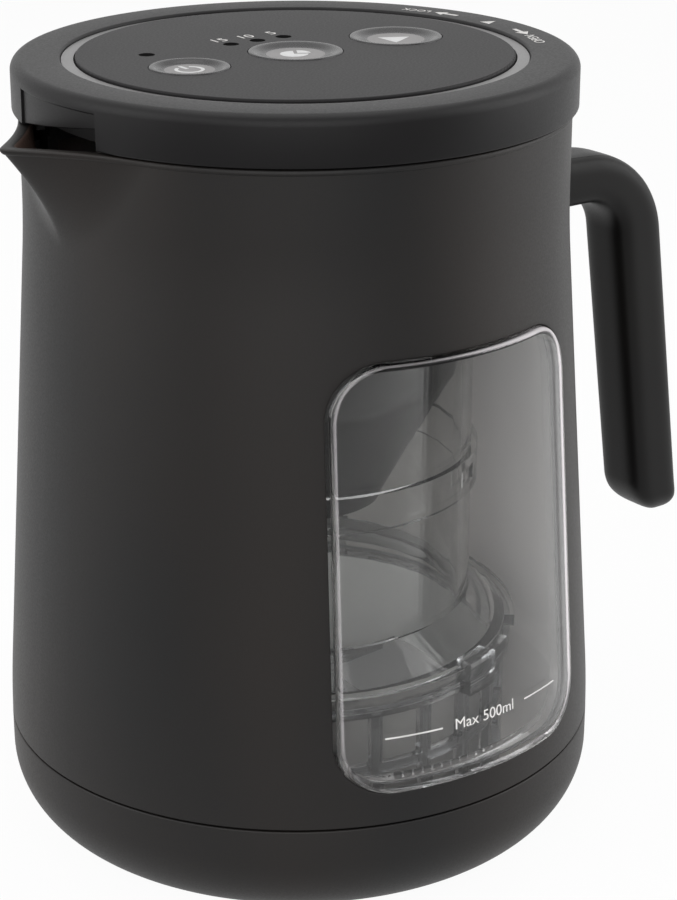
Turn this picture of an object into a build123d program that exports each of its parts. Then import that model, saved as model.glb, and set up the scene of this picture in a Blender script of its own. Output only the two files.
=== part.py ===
from build123d import *
import os
from math import cos, radians, sin, sqrt, tan

# Portable coffee maker: a jug with a clear window and a spout, and a powered lid that
# carries a brewing column with a stirrer and a filter basket.
# Frame: Z up from the table, the jug's axis is Z, the handle is at +X, the spout at -X
# and the window faces -Y. All sizes are in millimetres.

# Jug
rim_height = 170.0
rim_radius = 60.6
neck_length = 24.0
base_radius = 68.55
base_corner_height = 31.5
side_blend = 220.0
jug_wall = 2.6
floor_height = 10.0
seam_height = 26.5

# Base cover, pad and screws
seam_gap = 0.3
cover_wall = 2.4
cover_fit = 0.2
cover_floor = 3.8
base_round = 18.0
tub_round = 14.0
pad_radius = 47.8
pad_thickness = 2.0
pad_proud = 0.8
pad_bevel = 0.6
base_screw_circle = 36.0
base_boss_radius = 4.0

# Screws: one small self-tapping size for the base, the handle and the lid
screw_radius = 1.3
screw_head_radius = 2.6
screw_head_height = 1.4
screw_slot_width = 0.6
screw_slot_depth = 0.6
thread_fit = 0.05
clearance_fit = 0.25

# Spout
spout_reach = 13.4
spout_drop = 23.0
spout_curve = 1.45
spout_half_angle = 26.0
spout_sink_share = 1 / 303
spout_tip_wall = 0.9

# Window
window_rise = 2.4
window_height = 95.3
window_half_span_low = 29.2
window_half_span_high = 30.5
window_corner = 12.0
window_gap = 0.15
window_flange = 2.4
window_flange_thickness = 2.2
window_proud = 1.2
window_plate = 2.4
window_rim = 2.0
window_seal_thickness = 0.8

# Handle
handle_width = 15.5
handle_drop = 22.6
handle_reach = 43.6
handle_top_fall = 1.7
handle_low = 47.0
grip_lean = 8.05
grip_thickness = 14.6
root_thickness = 13.0
outer_bend = 25.0
inner_bend = 10.0
grip_outer_round = 4.6
grip_inner_round = 10.0
handle_edge_round = 3.8
handle_wall = 2.4
handle_fit = 0.1
cover_strip_width = 10.4
cover_strip_thickness = 1.5
cover_strip_rise = 13.0
cover_strip_gap = 0.15
cavity_width = 8.0
lug_end_gap = 1.6
lug_base_rise = 4.2
lug_hole_depth = 6.0
handle_screw_inset = 6.3
plug_radius = 3.2
plug_thickness = 1.0

# Lid: ring, panel and inner tray
lid_gap = 0.3
lid_height = 10.7
lid_overhang = 1.4
lid_edge_round = 2.4
skirt_wall = 2.2
deck_thickness = 2.6
ring_width = 10.9
groove_width = 3.1
groove_depth = 2.0
panel_gap = 0.2
panel_thickness = 2.6
panel_edge_round = 0.5
ledge_lap = 3.5
ledge_wall = 1.9
ledge_thickness = 2.2
notch_half_width = 15.0
notch_rise = 7.8

tray_gap = 1.6
tray_wall = 2.4
tray_floor_thickness = 2.4
collar_drop = 5.5
tray_hole_radius = 18.0
pour_half_width = 14.0
pour_depth = 44.0
pour_rise = 2.0
pour_roof_thickness = 1.4
pour_wall = 2.0
lid_boss_gap = 1.2
lid_boss_radius = 2.8
lid_screw_length = 8.0
screw_hole_spare = 0.5

# Lid bayonet and seal
lug_circle_start = 30.0
lug_span = 12.0
lug_reach = 1.2
lug_rise = 1.1
lug_height = 2.6
rail_gap = 0.4
rail_height = 2.0
rail_clearance = 0.6
rail_span = 20.0
twist_range = 24.0
seal_rise = 1.2
seal_height = 2.0
seal_depth = 0.7
seal_proud = 1.2
seal_half_gap = 20.0

# Buttons and indicators
button_pitch = 27.6
power_radius = 8.7
main_radius = 10.4
button_gap = 0.15
button_proud = 0.2
button_travel = 0.6
button_dish_depth = 0.8
button_rim = 0.7
button_flat_share = 0.62
button_flange = 1.0
button_flange_height = 1.1
button_flange_gap = 0.1
button_stem_radius = 2.0
button_stem_length = 1.0
lens_radius = 1.75
lens_fit = 0.05
lens_drop = 0.1
timer_lens_gap = 1.45
timer_lens_pitch = 7.1
power_lens_gap = 4.55
power_lens_shift = 0.6

# Circuit board in the lid
board_thickness = 1.6
board_gap = 1.5
board_tab_half_width = 6.0
board_tab_short = 4.2
board_post_inset = 4.0
board_post_height = 3.6
board_post_radius = 3.0
board_post_start = 65.0
board_screw_length = 4.6
board_tab_gap = 0.5
switch_side = 6.0
switch_height = 1.5
switch_plunger_radius = 1.5
switch_plunger_height = 0.4
led_side = 2.4
led_height = 1.2

# Charging socket and its flap, at +Y on the lid's skirt
socket_width = 9.0
socket_height = 3.2
socket_depth = 7.4
socket_wall = 0.4
socket_tongue_height = 0.7
socket_setback = 0.25
socket_fit = 0.2
flap_half_span = 7.2
flap_height = 6.0
flap_thickness = 1.25
flap_gap = 0.3

# Motor housing, which hangs under the tray
housing_room = 2.2
housing_wall = 2.2
housing_flange_width = 6.8
housing_flange_thickness = 3.0
gasket_thickness = 1.0
housing_corner_drop = 16.0
nose_height = 27.0
nose_radius = 19.0
nose_floor = 3.0
housing_screw_inset = 3.0
housing_screw_start = 20.0
housing_screw_length = 6.4
housing_boss_rise = 3.4
hook_drop = 12.0
hook_height = 2.5
hook_short = 0.6
hook_span = 14.0
hook_start = 90.0
hook_gap = 0.3
mount_ledge_height = 3.0
mount_ledge_width = 2.6

# Motor, battery and drive
motor_radius = 12.2
motor_length = 30.0
motor_boss_radius = 3.1
motor_boss_height = 2.0
motor_screw_circle = 8.0
motor_screw_radius = 1.2
motor_screw_head_radius = 2.0
motor_screw_length = 5.0
mount_plate_thickness = 2.5
mount_plate_gap = 0.3
battery_radius = 8.3
battery_length = 34.0
battery_spacing = 0.4
battery_fit = 0.2
battery_cap_radius = 3.0
battery_cap_height = 1.0
bracket_wall = 1.6
bracket_roof = 3.3
bracket_skirt = 8.0
motor_shaft_radius = 1.5
motor_shaft_grip = 8.0
running_fit = 0.05
press_clearance = 0.02
coupler_radius = 5.0
coupler_length = 12.0
coupler_drop = 8.0
coupler_web = 0.6
shaft_radius = 2.5
shaft_recess = 0.2
bush_radius = 4.5
bush_length = 9.0
seal_ring_radius = 8.0
seal_ring_height = 5.0
nose_boss_radius = 10.5

# Stirrer on the drive shaft
stirrer_hub_radius = 5.0
stirrer_gap = 1.6
stirrer_height = 14.0
blade_reach = 28.0
blade_thickness = 2.0
blade_height = 11.0
blade_tilt = 20.0
blade_count = 4
nut_radius = 4.4
nut_height = 4.0

# Brewing column
column_fit = 0.4
column_wall = 2.4
column_drop = 2.0
band_low = 83.5
band_height = 8.5
band_proud = 1.4
band_slot_half_span = 5.0
band_slot_height = 3.6
band_slot_depth = 0.8
band_slot_start = -58.0
flare_height = 7.0
flange_low = 46.3
flange_thickness = 2.7
flange_clearance = 7.0
flange_lip = 0.5

# Filter basket
basket_gap = 0.3
basket_ring_height = 3.0
basket_ring_inset = 1.0
basket_ring_lap = 0.8
basket_clearance = 3.0
basket_floor = 2.4
basket_inset = 1.4
basket_hoop_width = 2.0
basket_hoop_height = 2.4
rib_count = 24
rib_width = 2.4
rib_depth = 2.4
mesh_thickness = 0.7
mesh_fit = 0.2
gasket_ring_inset = 1.1
gasket_ring_width = 2.4
gasket_ring_depth = 1.0
basket_hook_start = -75.0
basket_hook_span = 10.0
basket_notch_span = 13.0
basket_hook_wall = 1.8
basket_hook_lip = 2.0
basket_hook_height = 1.8
basket_twist = 25.0

# Values that follow from the driving sizes
spout_sink = rim_radius * spout_sink_share
inner_radius = rim_radius - jug_wall
neck_corner_height = rim_height - neck_length
tub_radius = base_radius - cover_wall - cover_fit
tub_low = floor_height - jug_wall
cover_inner_floor = pad_proud + cover_floor
base_screw_seat = pad_thickness + screw_head_height
base_screw_shank = floor_height - jug_wall / 2 - base_screw_seat
window_low = base_corner_height + window_rise
window_high = window_low + window_height
handle_top = rim_height - handle_drop
handle_corner_reach = rim_radius + handle_reach
handle_root = rim_radius - 2 * jug_wall
handle_under = handle_top - root_thickness
cover_strip_end = handle_low + cover_strip_rise
grip_slope = tan(radians(grip_lean))
grip_outer_end = handle_corner_reach + (handle_top - handle_top_fall - handle_low) * grip_slope
grip_inner_end = grip_outer_end - grip_thickness / cos(radians(grip_lean))
lug_start = rim_radius - jug_wall / 2
lug_length = handle_reach - outer_bend - lug_end_gap
lug_low_face = handle_under + lug_base_rise
lug_fall = handle_top_fall * (lug_start + lug_length - handle_root) / (handle_corner_reach - handle_root)
lug_top_face = handle_top - lug_fall - cover_strip_thickness - 2 * cover_strip_gap
handle_screw_seat = handle_under + plug_thickness + screw_head_height
handle_screw_reach = lug_start + lug_length - handle_screw_inset
lid_low = rim_height + lid_gap
lid_top = lid_low + lid_height
lid_radius = rim_radius + lid_overhang
groove_radius = lid_radius - ring_width
panel_radius = groove_radius - groove_width
ledge_inner_radius = panel_radius - ledge_lap
ledge_outer_radius = groove_radius + ledge_wall
deck_low = lid_top - deck_thickness
ledge_low = deck_low - ledge_thickness
panel_low = lid_top - panel_thickness
flange_high = panel_low - button_flange_gap
stem_low = flange_high - button_flange_height - button_stem_length
plunger_top = stem_low - button_travel - button_flange_gap
board_top = plunger_top - switch_plunger_height - switch_height
board_low = board_top - board_thickness
board_radius = ledge_inner_radius - board_gap
board_post_circle = board_radius - board_post_inset
led_top = board_top + led_height
flap_low = board_low
socket_front = lid_radius - flap_thickness - flap_gap - socket_setback
board_tab_reach = socket_front - board_tab_short
lens_offset = button_flange + lens_radius
timer_lens_row = main_radius + lens_offset + timer_lens_gap
lens_places = [(turn * timer_lens_pitch, timer_lens_row) for turn in (-1, 0, 1)]
lens_places.append((-button_pitch - power_lens_shift, power_radius + lens_offset + power_lens_gap))
button_places = [(-button_pitch, 0), (0, 0), (button_pitch, 0)]
tray_radius = inner_radius - tray_gap
tray_floor_top = board_low - board_post_height
tray_floor_low = tray_floor_top - tray_floor_thickness
tray_top = deck_low - panel_gap
collar_low = tray_floor_low - collar_drop
pour_roof_low = tray_floor_top + pour_rise
lid_boss_circle = tray_radius - tray_wall - lid_boss_radius - lid_boss_gap
lug_radius = tray_radius + lug_reach
lug_low = collar_low + lug_rise
rail_radius = tray_radius + rail_clearance
seal_low = tray_floor_low + seal_rise
seal_radius = tray_radius + seal_proud
flange_top = tray_floor_low - gasket_thickness
flange_under = flange_top - housing_flange_thickness
bracket_ceiling = tray_floor_low - bracket_roof
battery_top = bracket_ceiling - battery_fit - battery_cap_height
battery_circle = motor_radius + battery_spacing + bracket_wall + battery_fit + battery_radius
bracket_radius = battery_radius + battery_fit + bracket_wall
motor_low = battery_top - battery_length
mount_plate_low = motor_low - mount_plate_thickness
mount_ledge_low = mount_plate_low - mount_ledge_height
housing_inner = battery_circle + bracket_radius + housing_room
housing_radius = housing_inner + housing_wall
housing_flange_radius = housing_radius + housing_flange_width
housing_screw_circle = housing_flange_radius - housing_screw_inset
housing_corner_height = mount_ledge_low - housing_corner_drop
nose_low = housing_corner_height - nose_height
motor_shaft_low = motor_low - motor_boss_height - coupler_drop
coupler_low = motor_shaft_low - coupler_length / 2
shaft_high = motor_shaft_low - coupler_web
bush_low = nose_low + seal_ring_height
bush_high = bush_low + bush_length
column_inner = housing_radius + column_fit
column_radius = column_inner + column_wall
column_top = flange_under - column_drop
hook_low = column_top - hook_drop
hook_radius = column_radius - hook_short
band_high = band_low + band_height
column_flange_top = flange_low + flange_thickness
flare_high = column_flange_top + flare_height
flange_radius = inner_radius - flange_clearance
basket_low = floor_height + basket_clearance
basket_floor_top = basket_low + basket_floor
basket_ring_top = flange_low - basket_gap
basket_ring_low = basket_ring_top - basket_ring_height
basket_ring_radius = flange_radius - basket_ring_inset
basket_radius = basket_ring_radius - basket_inset
mesh_radius = basket_radius - rib_depth - mesh_fit
basket_ring_inner = mesh_radius - mesh_thickness - basket_ring_lap
flange_inner_radius = basket_ring_inner - flange_lip
gasket_ring_inner = basket_ring_inner + gasket_ring_inset
gasket_ring_outer = gasket_ring_inner + gasket_ring_width
hook_inner_radius = flange_radius + basket_gap
hook_outer_radius = hook_inner_radius + basket_hook_wall
stirrer_low = basket_floor_top + stirrer_gap + nut_height
shaft_low = stirrer_low - nut_height + shaft_recess
on_floor = (Align.CENTER, Align.CENTER, Align.MIN)
hanging = (Align.CENTER, Align.CENTER, Align.MAX)

os.makedirs("parts", exist_ok=True)


def save(piece, name):
    piece.part.label = name
    export_step(piece.part, f"parts/{name}.step")


def rounded_face(corners):
    # Closed face in XZ through (x, z, radius) corners, each rounded by a tangent arc; radius 0 stays sharp
    points = [Vector(x, z) for x, z, radius in corners]
    with BuildSketch(Plane.XZ) as face:
        with BuildLine():
            ends = []
            for index, (corner, (x, z, radius)) in enumerate(zip(points, corners)):
                back = (points[index - 1] - corner).normalized()
                ahead = (points[(index + 1) % len(points)] - corner).normalized()
                half = radians(back.get_angle(ahead)) / 2
                enter = corner + back * (radius / tan(half))
                leave = corner + ahead * (radius / tan(half))
                if radius > 0:
                    middle = corner + (back + ahead).normalized() * (radius / sin(half) - radius)
                    ThreePointArc(enter, middle, leave)
                ends.append((enter, leave))
            for index, (enter, leave) in enumerate(ends):
                Line(ends[index - 1][1], enter)
        make_face()
    return face.sketch


def turned(corners):
    # Solid of revolution about Z from a half outline given as (radius, height, rounding)
    with BuildPart() as solid:
        add(rounded_face(corners))
        revolve(axis=Axis.Z)
    return solid.part


def tube(inner, outer, low, high):
    # Plain ring between two radii and two heights
    return turned([(inner, low, 0), (outer, low, 0), (outer, high, 0), (inner, high, 0)])


def ring_arc(inner, outer, low, high, middle, half_span):
    # Piece of a ring between two radii and two heights, centred on one direction in degrees
    with BuildPart() as solid:
        with BuildSketch(Plane.XZ):
            Polygon((inner, low), (outer, low), (outer, high), (inner, high), align=None)
        revolve(axis=Axis.Z, revolution_arc=2 * half_span)
    return solid.part.rotate(Axis.Z, middle - half_span)


def side_blank(inset):
    # Everything inside the jug's side wall, drawn inwards by an inset
    return turned([
        (0, 0, 0),
        (base_radius - inset, 0, 0),
        (base_radius - inset, base_corner_height, side_blend),
        (rim_radius - inset, neck_corner_height, side_blend),
        (rim_radius - inset, rim_height, 0),
        (0, rim_height, 0),
    ])


def spout_blank(body_radius, reach, top_share):
    # Loft through V-shaped sections whose flanks run into the round wall
    with BuildPart() as solid:
        for share in (0.0, 0.3, 0.55, 0.8, top_share):
            height = rim_height - spout_drop * (1 - share)
            tip = body_radius + reach * share ** spout_curve - spout_sink
            angle = radians(spout_half_angle * sqrt(max(share, 0.04)))
            far = (-body_radius * cos(angle), body_radius * sin(angle))
            near = (far[0], -far[1])
            with BuildSketch(Plane.XY.offset(height)):
                with BuildLine():
                    TangentArc(far, (-tip, 0), tangent=(-sin(angle), -cos(angle)))
                    TangentArc(near, (-tip, 0), tangent=(-sin(angle), cos(angle)))
                    Line(near, far)
                make_face()
        loft()
    return solid.part


def slab(face, width):
    # A side outline in XZ carried to half a width on each side of the middle plane
    with BuildPart() as solid:
        add(face.moved(Location((0, -width / 2, 0))))
        extrude(amount=width, dir=(0, 1, 0))
    return solid.part


def window_prism(margin):
    # Rounded window outline, grown by a margin and carried out through the wall
    def half_width(height, half_span):
        share = (height - base_corner_height) / (neck_corner_height - base_corner_height)
        radius = base_radius + (rim_radius - base_radius) * share
        return radius * sin(radians(half_span)) + margin

    low, high = window_low - margin, window_high + margin
    low_half = half_width(low, window_half_span_low)
    high_half = half_width(high, window_half_span_high)
    with BuildPart() as solid:
        add(rounded_face([
            (-low_half, low, window_corner + margin),
            (low_half, low, window_corner + margin),
            (high_half, high, window_corner + margin),
            (-high_half, high, window_corner + margin),
        ]))
        extrude(amount=2 * base_radius, dir=(0, -1, 0))
    return solid.part


def screw(head_radius, head_height, shank_radius, shank_length):
    # Pan-head screw that stands on its slotted head, with its shank along +Z
    with BuildPart() as solid:
        Cylinder(head_radius, head_height, align=on_floor)
        Box(3 * head_radius, screw_slot_width, screw_slot_depth, align=on_floor, mode=Mode.SUBTRACT)
        with Locations((0, 0, head_height)):
            Cylinder(shank_radius, shank_length, align=on_floor)
    return solid.part


# Jug body: tapered wall, spout, inner floor, bosses for the base and a lug for the handle
with BuildPart() as jug_body:
    add(side_blank(0))
    add(spout_blank(rim_radius, spout_reach, 1.0))
    add(tube(tub_radius, 2 * base_radius, 0, seam_height), mode=Mode.SUBTRACT)
    Cylinder(base_radius, tub_low, align=on_floor, mode=Mode.SUBTRACT)
    fillet(edges().filter_by(GeomType.CIRCLE).group_by(Axis.Z)[0], tub_round)
    add(turned([
        (0, floor_height, 0),
        (tub_radius - jug_wall, floor_height, tub_round - jug_wall),
        (tub_radius - jug_wall, seam_height, 0),
        (base_radius - jug_wall, base_corner_height, 0),
        (rim_radius - jug_wall, neck_corner_height, side_blend),
        (rim_radius - jug_wall, rim_height + jug_wall, 0),
        (0, rim_height + jug_wall, 0),
    ]), mode=Mode.SUBTRACT)
    add(spout_blank(rim_radius - jug_wall, spout_reach - spout_tip_wall, 1.05), mode=Mode.SUBTRACT)
    add(window_prism(0), mode=Mode.SUBTRACT)
    for turn in range(3):
        middle = lug_circle_start - twist_range + 120 * turn
        rail_low = lug_low + lug_height + rail_gap
        add(ring_arc(rail_radius, rim_radius - jug_wall / 2, rail_low, rail_low + rail_height,
                     middle, rail_span / 2))
    with Locations((0, 0, cover_inner_floor)):
        with PolarLocations(base_screw_circle, 4, start_angle=45):
            Cylinder(base_boss_radius, floor_height - jug_wall / 2 - cover_inner_floor, align=on_floor)
            Cylinder(screw_radius + thread_fit, base_screw_shank + base_screw_seat - cover_inner_floor,
                     align=on_floor, mode=Mode.SUBTRACT)
    with Locations((lug_start, 0, lug_low_face)):
        Box(lug_length, cavity_width - 2 * handle_fit, lug_top_face - lug_low_face,
            align=(Align.MIN, Align.CENTER, Align.MIN))
    with Locations((handle_screw_reach, 0, lug_low_face)):
        Cylinder(screw_radius + thread_fit, lug_hole_depth, align=on_floor, mode=Mode.SUBTRACT)
save(jug_body, "jug_body")

# Window: a clear plate that stands a little proud of the wall, with a flange on a seal behind it
flange_inset = jug_wall + window_seal_thickness
with BuildPart() as window_panel:
    add(side_blank(-window_proud))
    add(side_blank(flange_inset + window_flange_thickness), mode=Mode.SUBTRACT)
    add(window_prism(-window_gap), mode=Mode.INTERSECT)
with BuildPart() as window_hollow:
    add(side_blank(window_plate - window_proud))
    add(window_prism(-window_rim), mode=Mode.INTERSECT)
with BuildPart() as window_back:
    add(side_blank(flange_inset))
    add(side_blank(flange_inset + window_flange_thickness), mode=Mode.SUBTRACT)
    add(window_prism(window_flange), mode=Mode.INTERSECT)
with window_panel:
    add(window_back.part)
    add(window_hollow.part, mode=Mode.SUBTRACT)
save(window_panel, "window_panel")

with BuildPart() as window_seal:
    add(side_blank(jug_wall + window_gap))
    add(side_blank(flange_inset), mode=Mode.SUBTRACT)
    add(window_prism(window_flange), mode=Mode.INTERSECT)
    add(window_prism(0), mode=Mode.SUBTRACT)
save(window_seal, "window_seal")

# Base cover with its screws, and the soft pad that the jug stands on
with BuildPart() as base_cover:
    add(turned([
        (0, pad_proud, 0),
        (base_radius, pad_proud, base_round),
        (base_radius, seam_height - seam_gap, 0),
        (base_radius - cover_wall, seam_height - seam_gap, 0),
        (base_radius - cover_wall, cover_inner_floor, tub_round),
        (0, cover_inner_floor, 0),
    ]))
    Cylinder(pad_radius + cover_fit, pad_thickness, align=on_floor, mode=Mode.SUBTRACT)
    with PolarLocations(base_screw_circle, 4, start_angle=45):
        Cylinder(screw_radius + clearance_fit, cover_inner_floor, align=on_floor, mode=Mode.SUBTRACT)
        Cylinder(screw_head_radius + clearance_fit, base_screw_seat, align=on_floor, mode=Mode.SUBTRACT)
save(base_cover, "base_cover")

with BuildPart() as base_pad:
    add(turned([
        (0, 0, 0),
        (pad_radius - pad_bevel, 0, 0),
        (pad_radius, pad_bevel, 0),
        (pad_radius, pad_thickness, 0),
        (0, pad_thickness, 0),
    ]))
save(base_pad, "base_pad")

with BuildPart() as base_screws:
    with Locations((0, 0, pad_thickness)):
        with PolarLocations(base_screw_circle, 4, start_angle=45):
            add(screw(screw_head_radius, screw_head_height, screw_radius,
                      base_screw_shank - screw_hole_spare))
save(base_screws, "base_screws")

# Handle: a hollow grip that sits on the jug's lug, closed along its back by a cover strip
handle_side = rounded_face([
    (handle_root, handle_top, 0),
    (handle_corner_reach, handle_top - handle_top_fall, outer_bend),
    (grip_outer_end, handle_low, grip_outer_round),
    (grip_inner_end, handle_low, grip_inner_round),
    (grip_inner_end - (handle_under - handle_low) * grip_slope, handle_under, inner_bend),
    (handle_root, handle_under, 0),
])
jug_clearance = side_blank(-handle_fit)
with BuildPart() as handle_blank:
    add(slab(handle_side, handle_width))
    side_edges = handle_blank.faces().filter_by(Axis.Y).edges()
    fillet(side_edges.filter_by(lambda edge: edge.center().X > handle_root + jug_wall), handle_edge_round)
    add(jug_clearance, mode=Mode.SUBTRACT)


def back_space(depth, width, low):
    # The room along the top and back of the handle, down to a depth under its surface
    core = slab(handle_side.moved(Location((-depth, 0, -depth))), 2 * handle_width)
    with BuildPart() as space:
        with Locations((handle_root, 0, low)):
            Box(2 * handle_corner_reach, width, handle_top, align=(Align.MIN, Align.CENTER, Align.MIN))
        add(core, mode=Mode.SUBTRACT)
    return space.part


with BuildPart() as handle_cover:
    add(handle_blank.part)
    add(back_space(cover_strip_thickness, cover_strip_width, cover_strip_end), mode=Mode.INTERSECT)
save(handle_cover, "handle_cover")

with BuildSketch(Plane.XZ) as handle_core:
    add(Plane.XZ.to_local_coords(handle_side))
    offset(amount=-handle_wall, mode=Mode.REPLACE)
with BuildPart() as handle_cavity:
    add(slab(handle_core.sketch, cavity_width))
    with Locations((handle_root, 0, handle_under)):
        Box(lug_start + lug_length - handle_root, cavity_width, lug_base_rise,
            align=(Align.MIN, Align.CENTER, Align.MIN), mode=Mode.SUBTRACT)
with BuildPart() as handle_grip:
    add(handle_blank.part)
    add(back_space(cover_strip_thickness + cover_strip_gap, cover_strip_width + 2 * cover_strip_gap,
                   cover_strip_end - cover_strip_gap), mode=Mode.SUBTRACT)
    add(handle_cavity.part, mode=Mode.SUBTRACT)
    add(back_space(handle_wall + cover_strip_gap, cavity_width, cover_strip_end + handle_wall),
        mode=Mode.SUBTRACT)
    with Locations((handle_screw_reach, 0, handle_under)):
        Cylinder(plug_radius + handle_fit, plug_thickness + handle_fit, align=on_floor, mode=Mode.SUBTRACT)
        Cylinder(screw_head_radius + clearance_fit, handle_screw_seat - handle_under, align=on_floor,
                 mode=Mode.SUBTRACT)
        Cylinder(screw_radius + clearance_fit, lug_base_rise, align=on_floor, mode=Mode.SUBTRACT)
save(handle_grip, "handle_grip")

with BuildPart() as handle_screw:
    with Locations((handle_screw_reach, 0, handle_screw_seat - screw_head_height)):
        add(screw(screw_head_radius, screw_head_height, screw_radius,
                  lug_low_face + lug_hole_depth - handle_screw_seat - screw_hole_spare))
save(handle_screw, "handle_screw")

with BuildPart() as handle_plug:
    with Locations((handle_screw_reach, 0, handle_under)):
        Cylinder(plug_radius, plug_thickness, align=on_floor)
save(handle_plug, "handle_plug")

# Lid ring: skirt, deck and the ledge that carries the panel, with a notch over the spout
with BuildPart() as lid_ring:
    add(turned([
        (lid_radius, lid_low, 0),
        (lid_radius, lid_top, lid_edge_round),
        (groove_radius, lid_top, panel_edge_round),
        (groove_radius, lid_top - groove_depth, 0),
        (panel_radius + panel_gap, lid_top - groove_depth, 0),
        (panel_radius + panel_gap, panel_low, 0),
        (ledge_inner_radius, panel_low, 0),
        (ledge_inner_radius, ledge_low, 0),
        (ledge_outer_radius, ledge_low, 0),
        (ledge_outer_radius, deck_low, 0),
        (lid_radius - skirt_wall, deck_low, 0),
        (lid_radius - skirt_wall, lid_low, 0),
    ]))
    with Locations((-lid_radius, 0, rim_height)):
        Box(6 * skirt_wall, 2 * notch_half_width, notch_rise, align=on_floor, mode=Mode.SUBTRACT)
    with Locations((0, 0, tray_floor_top)):
        with PolarLocations(lid_boss_circle, 4, start_angle=45):
            Cylinder(lid_boss_radius, ledge_low - tray_floor_top, align=on_floor)
            Cylinder(screw_radius + thread_fit, lid_screw_length, align=on_floor, mode=Mode.SUBTRACT)
    flap_gap_angle = flap_half_span * (1 + flap_gap / flap_height)
    add(ring_arc(lid_radius - flap_thickness - flap_gap, lid_radius + flap_gap, flap_low - flap_gap,
                 flap_low + flap_height + flap_gap, 90, flap_gap_angle), mode=Mode.SUBTRACT)
    with Locations((0, socket_front - socket_depth - socket_fit, board_top + socket_height / 2)):
        Box(socket_width + 2 * socket_fit, lid_radius, socket_height + 2 * socket_fit,
            align=(Align.CENTER, Align.MIN, Align.CENTER), mode=Mode.SUBTRACT)
save(lid_ring, "lid_ring")

# Control panel: a disc with holes for the buttons and the indicators
with BuildPart() as control_panel:
    add(turned([
        (0, panel_low, 0),
        (panel_radius, panel_low, 0),
        (panel_radius, lid_top, panel_edge_round),
        (0, lid_top, 0),
    ]))
    with Locations((0, 0, panel_low)):
        with Locations(button_places[0]):
            Cylinder(power_radius + button_gap, panel_thickness, align=on_floor, mode=Mode.SUBTRACT)
        with Locations(*button_places[1:]):
            Cylinder(main_radius + button_gap, panel_thickness, align=on_floor, mode=Mode.SUBTRACT)
        with Locations(*lens_places):
            Cylinder(lens_radius + lens_fit, panel_thickness, align=on_floor, mode=Mode.SUBTRACT)
save(control_panel, "control_panel")


def button_cap(radius):
    # Dished cap with a retaining flange under the panel and a stem over its switch
    top = lid_top + button_proud
    flange_base = flange_high - button_flange_height
    return turned([
        (0, stem_low, 0),
        (button_stem_radius, stem_low, 0),
        (button_stem_radius, flange_base, 0),
        (radius + button_flange, flange_base, 0),
        (radius + button_flange, flange_high, 0),
        (radius, flange_high, 0),
        (radius, top, button_rim / 2),
        (radius - button_rim, top, 0),
        (radius * button_flat_share, top - button_dish_depth, 0),
        (0, top - button_dish_depth, 0),
    ])


with BuildPart() as power_button:
    with Locations(button_places[0]):
        add(button_cap(power_radius))
save(power_button, "power_button")

with BuildPart() as timer_button:
    with Locations(button_places[1]):
        add(button_cap(main_radius))
save(timer_button, "timer_button")

with BuildPart() as start_button:
    with Locations(button_places[2]):
        add(button_cap(main_radius))
save(start_button, "start_button")

with BuildPart() as indicator_lenses:
    with Locations((0, 0, led_top)):
        with Locations(*lens_places):
            Cylinder(lens_radius, lid_top - lens_drop - led_top, align=on_floor)
save(indicator_lenses, "indicator_lenses")

# Circuit board with its switches, indicator lights and charging socket
with BuildPart() as control_board:
    with Locations((0, 0, board_low)):
        Cylinder(board_radius, board_thickness, align=on_floor)
    with Locations((0, board_tab_reach, board_low)):
        Box(2 * board_tab_half_width, board_tab_reach - board_radius / 2, board_thickness,
            align=(Align.CENTER, Align.MAX, Align.MIN))
    with Locations((0, 0, board_low)):
        with PolarLocations(board_post_circle, 4, start_angle=board_post_start):
            Cylinder(screw_radius + clearance_fit, board_thickness, align=on_floor, mode=Mode.SUBTRACT)
save(control_board, "control_board")

with BuildPart() as board_screws:
    with Locations((0, 0, board_top + screw_head_height)):
        with PolarLocations(board_post_circle, 4, start_angle=board_post_start):
            add(screw(screw_head_radius, screw_head_height, screw_radius, board_screw_length),
                rotation=(180, 0, 0))
save(board_screws, "board_screws")

with BuildPart() as tact_switches:
    with Locations((0, 0, board_top)):
        with Locations(*button_places):
            Box(switch_side, switch_side, switch_height, align=on_floor)
    with Locations((0, 0, board_top + switch_height)):
        with Locations(*button_places):
            Cylinder(switch_plunger_radius, switch_plunger_height, align=on_floor)
save(tact_switches, "tact_switches")

with BuildPart() as indicator_leds:
    with Locations((0, 0, board_top)):
        with Locations(*lens_places):
            Box(led_side, led_side, led_height, align=on_floor)
save(indicator_leds, "indicator_leds")

with BuildPart() as charging_socket:
    with BuildSketch(Plane.XZ.offset(-socket_front)):
        with Locations((0, board_top + socket_height / 2)):
            RectangleRounded(socket_width, socket_height, socket_height / 2 - socket_wall / 4)
    extrude(amount=socket_depth)
    with BuildSketch(Plane.XZ.offset(-socket_front)):
        with Locations((0, board_top + socket_height / 2)):
            RectangleRounded(socket_width - 2 * socket_wall, socket_height - 2 * socket_wall,
                             socket_height / 2 - socket_wall * 1.25)
            Rectangle(socket_width - 6 * socket_wall, socket_tongue_height, mode=Mode.SUBTRACT)
    extrude(amount=socket_depth - socket_wall, mode=Mode.SUBTRACT)
save(charging_socket, "charging_socket")

with BuildPart() as charging_flap:
    add(ring_arc(lid_radius - flap_thickness, lid_radius, flap_low, flap_low + flap_height,
                 90, flap_half_span))
save(charging_flap, "charging_flap")

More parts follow.
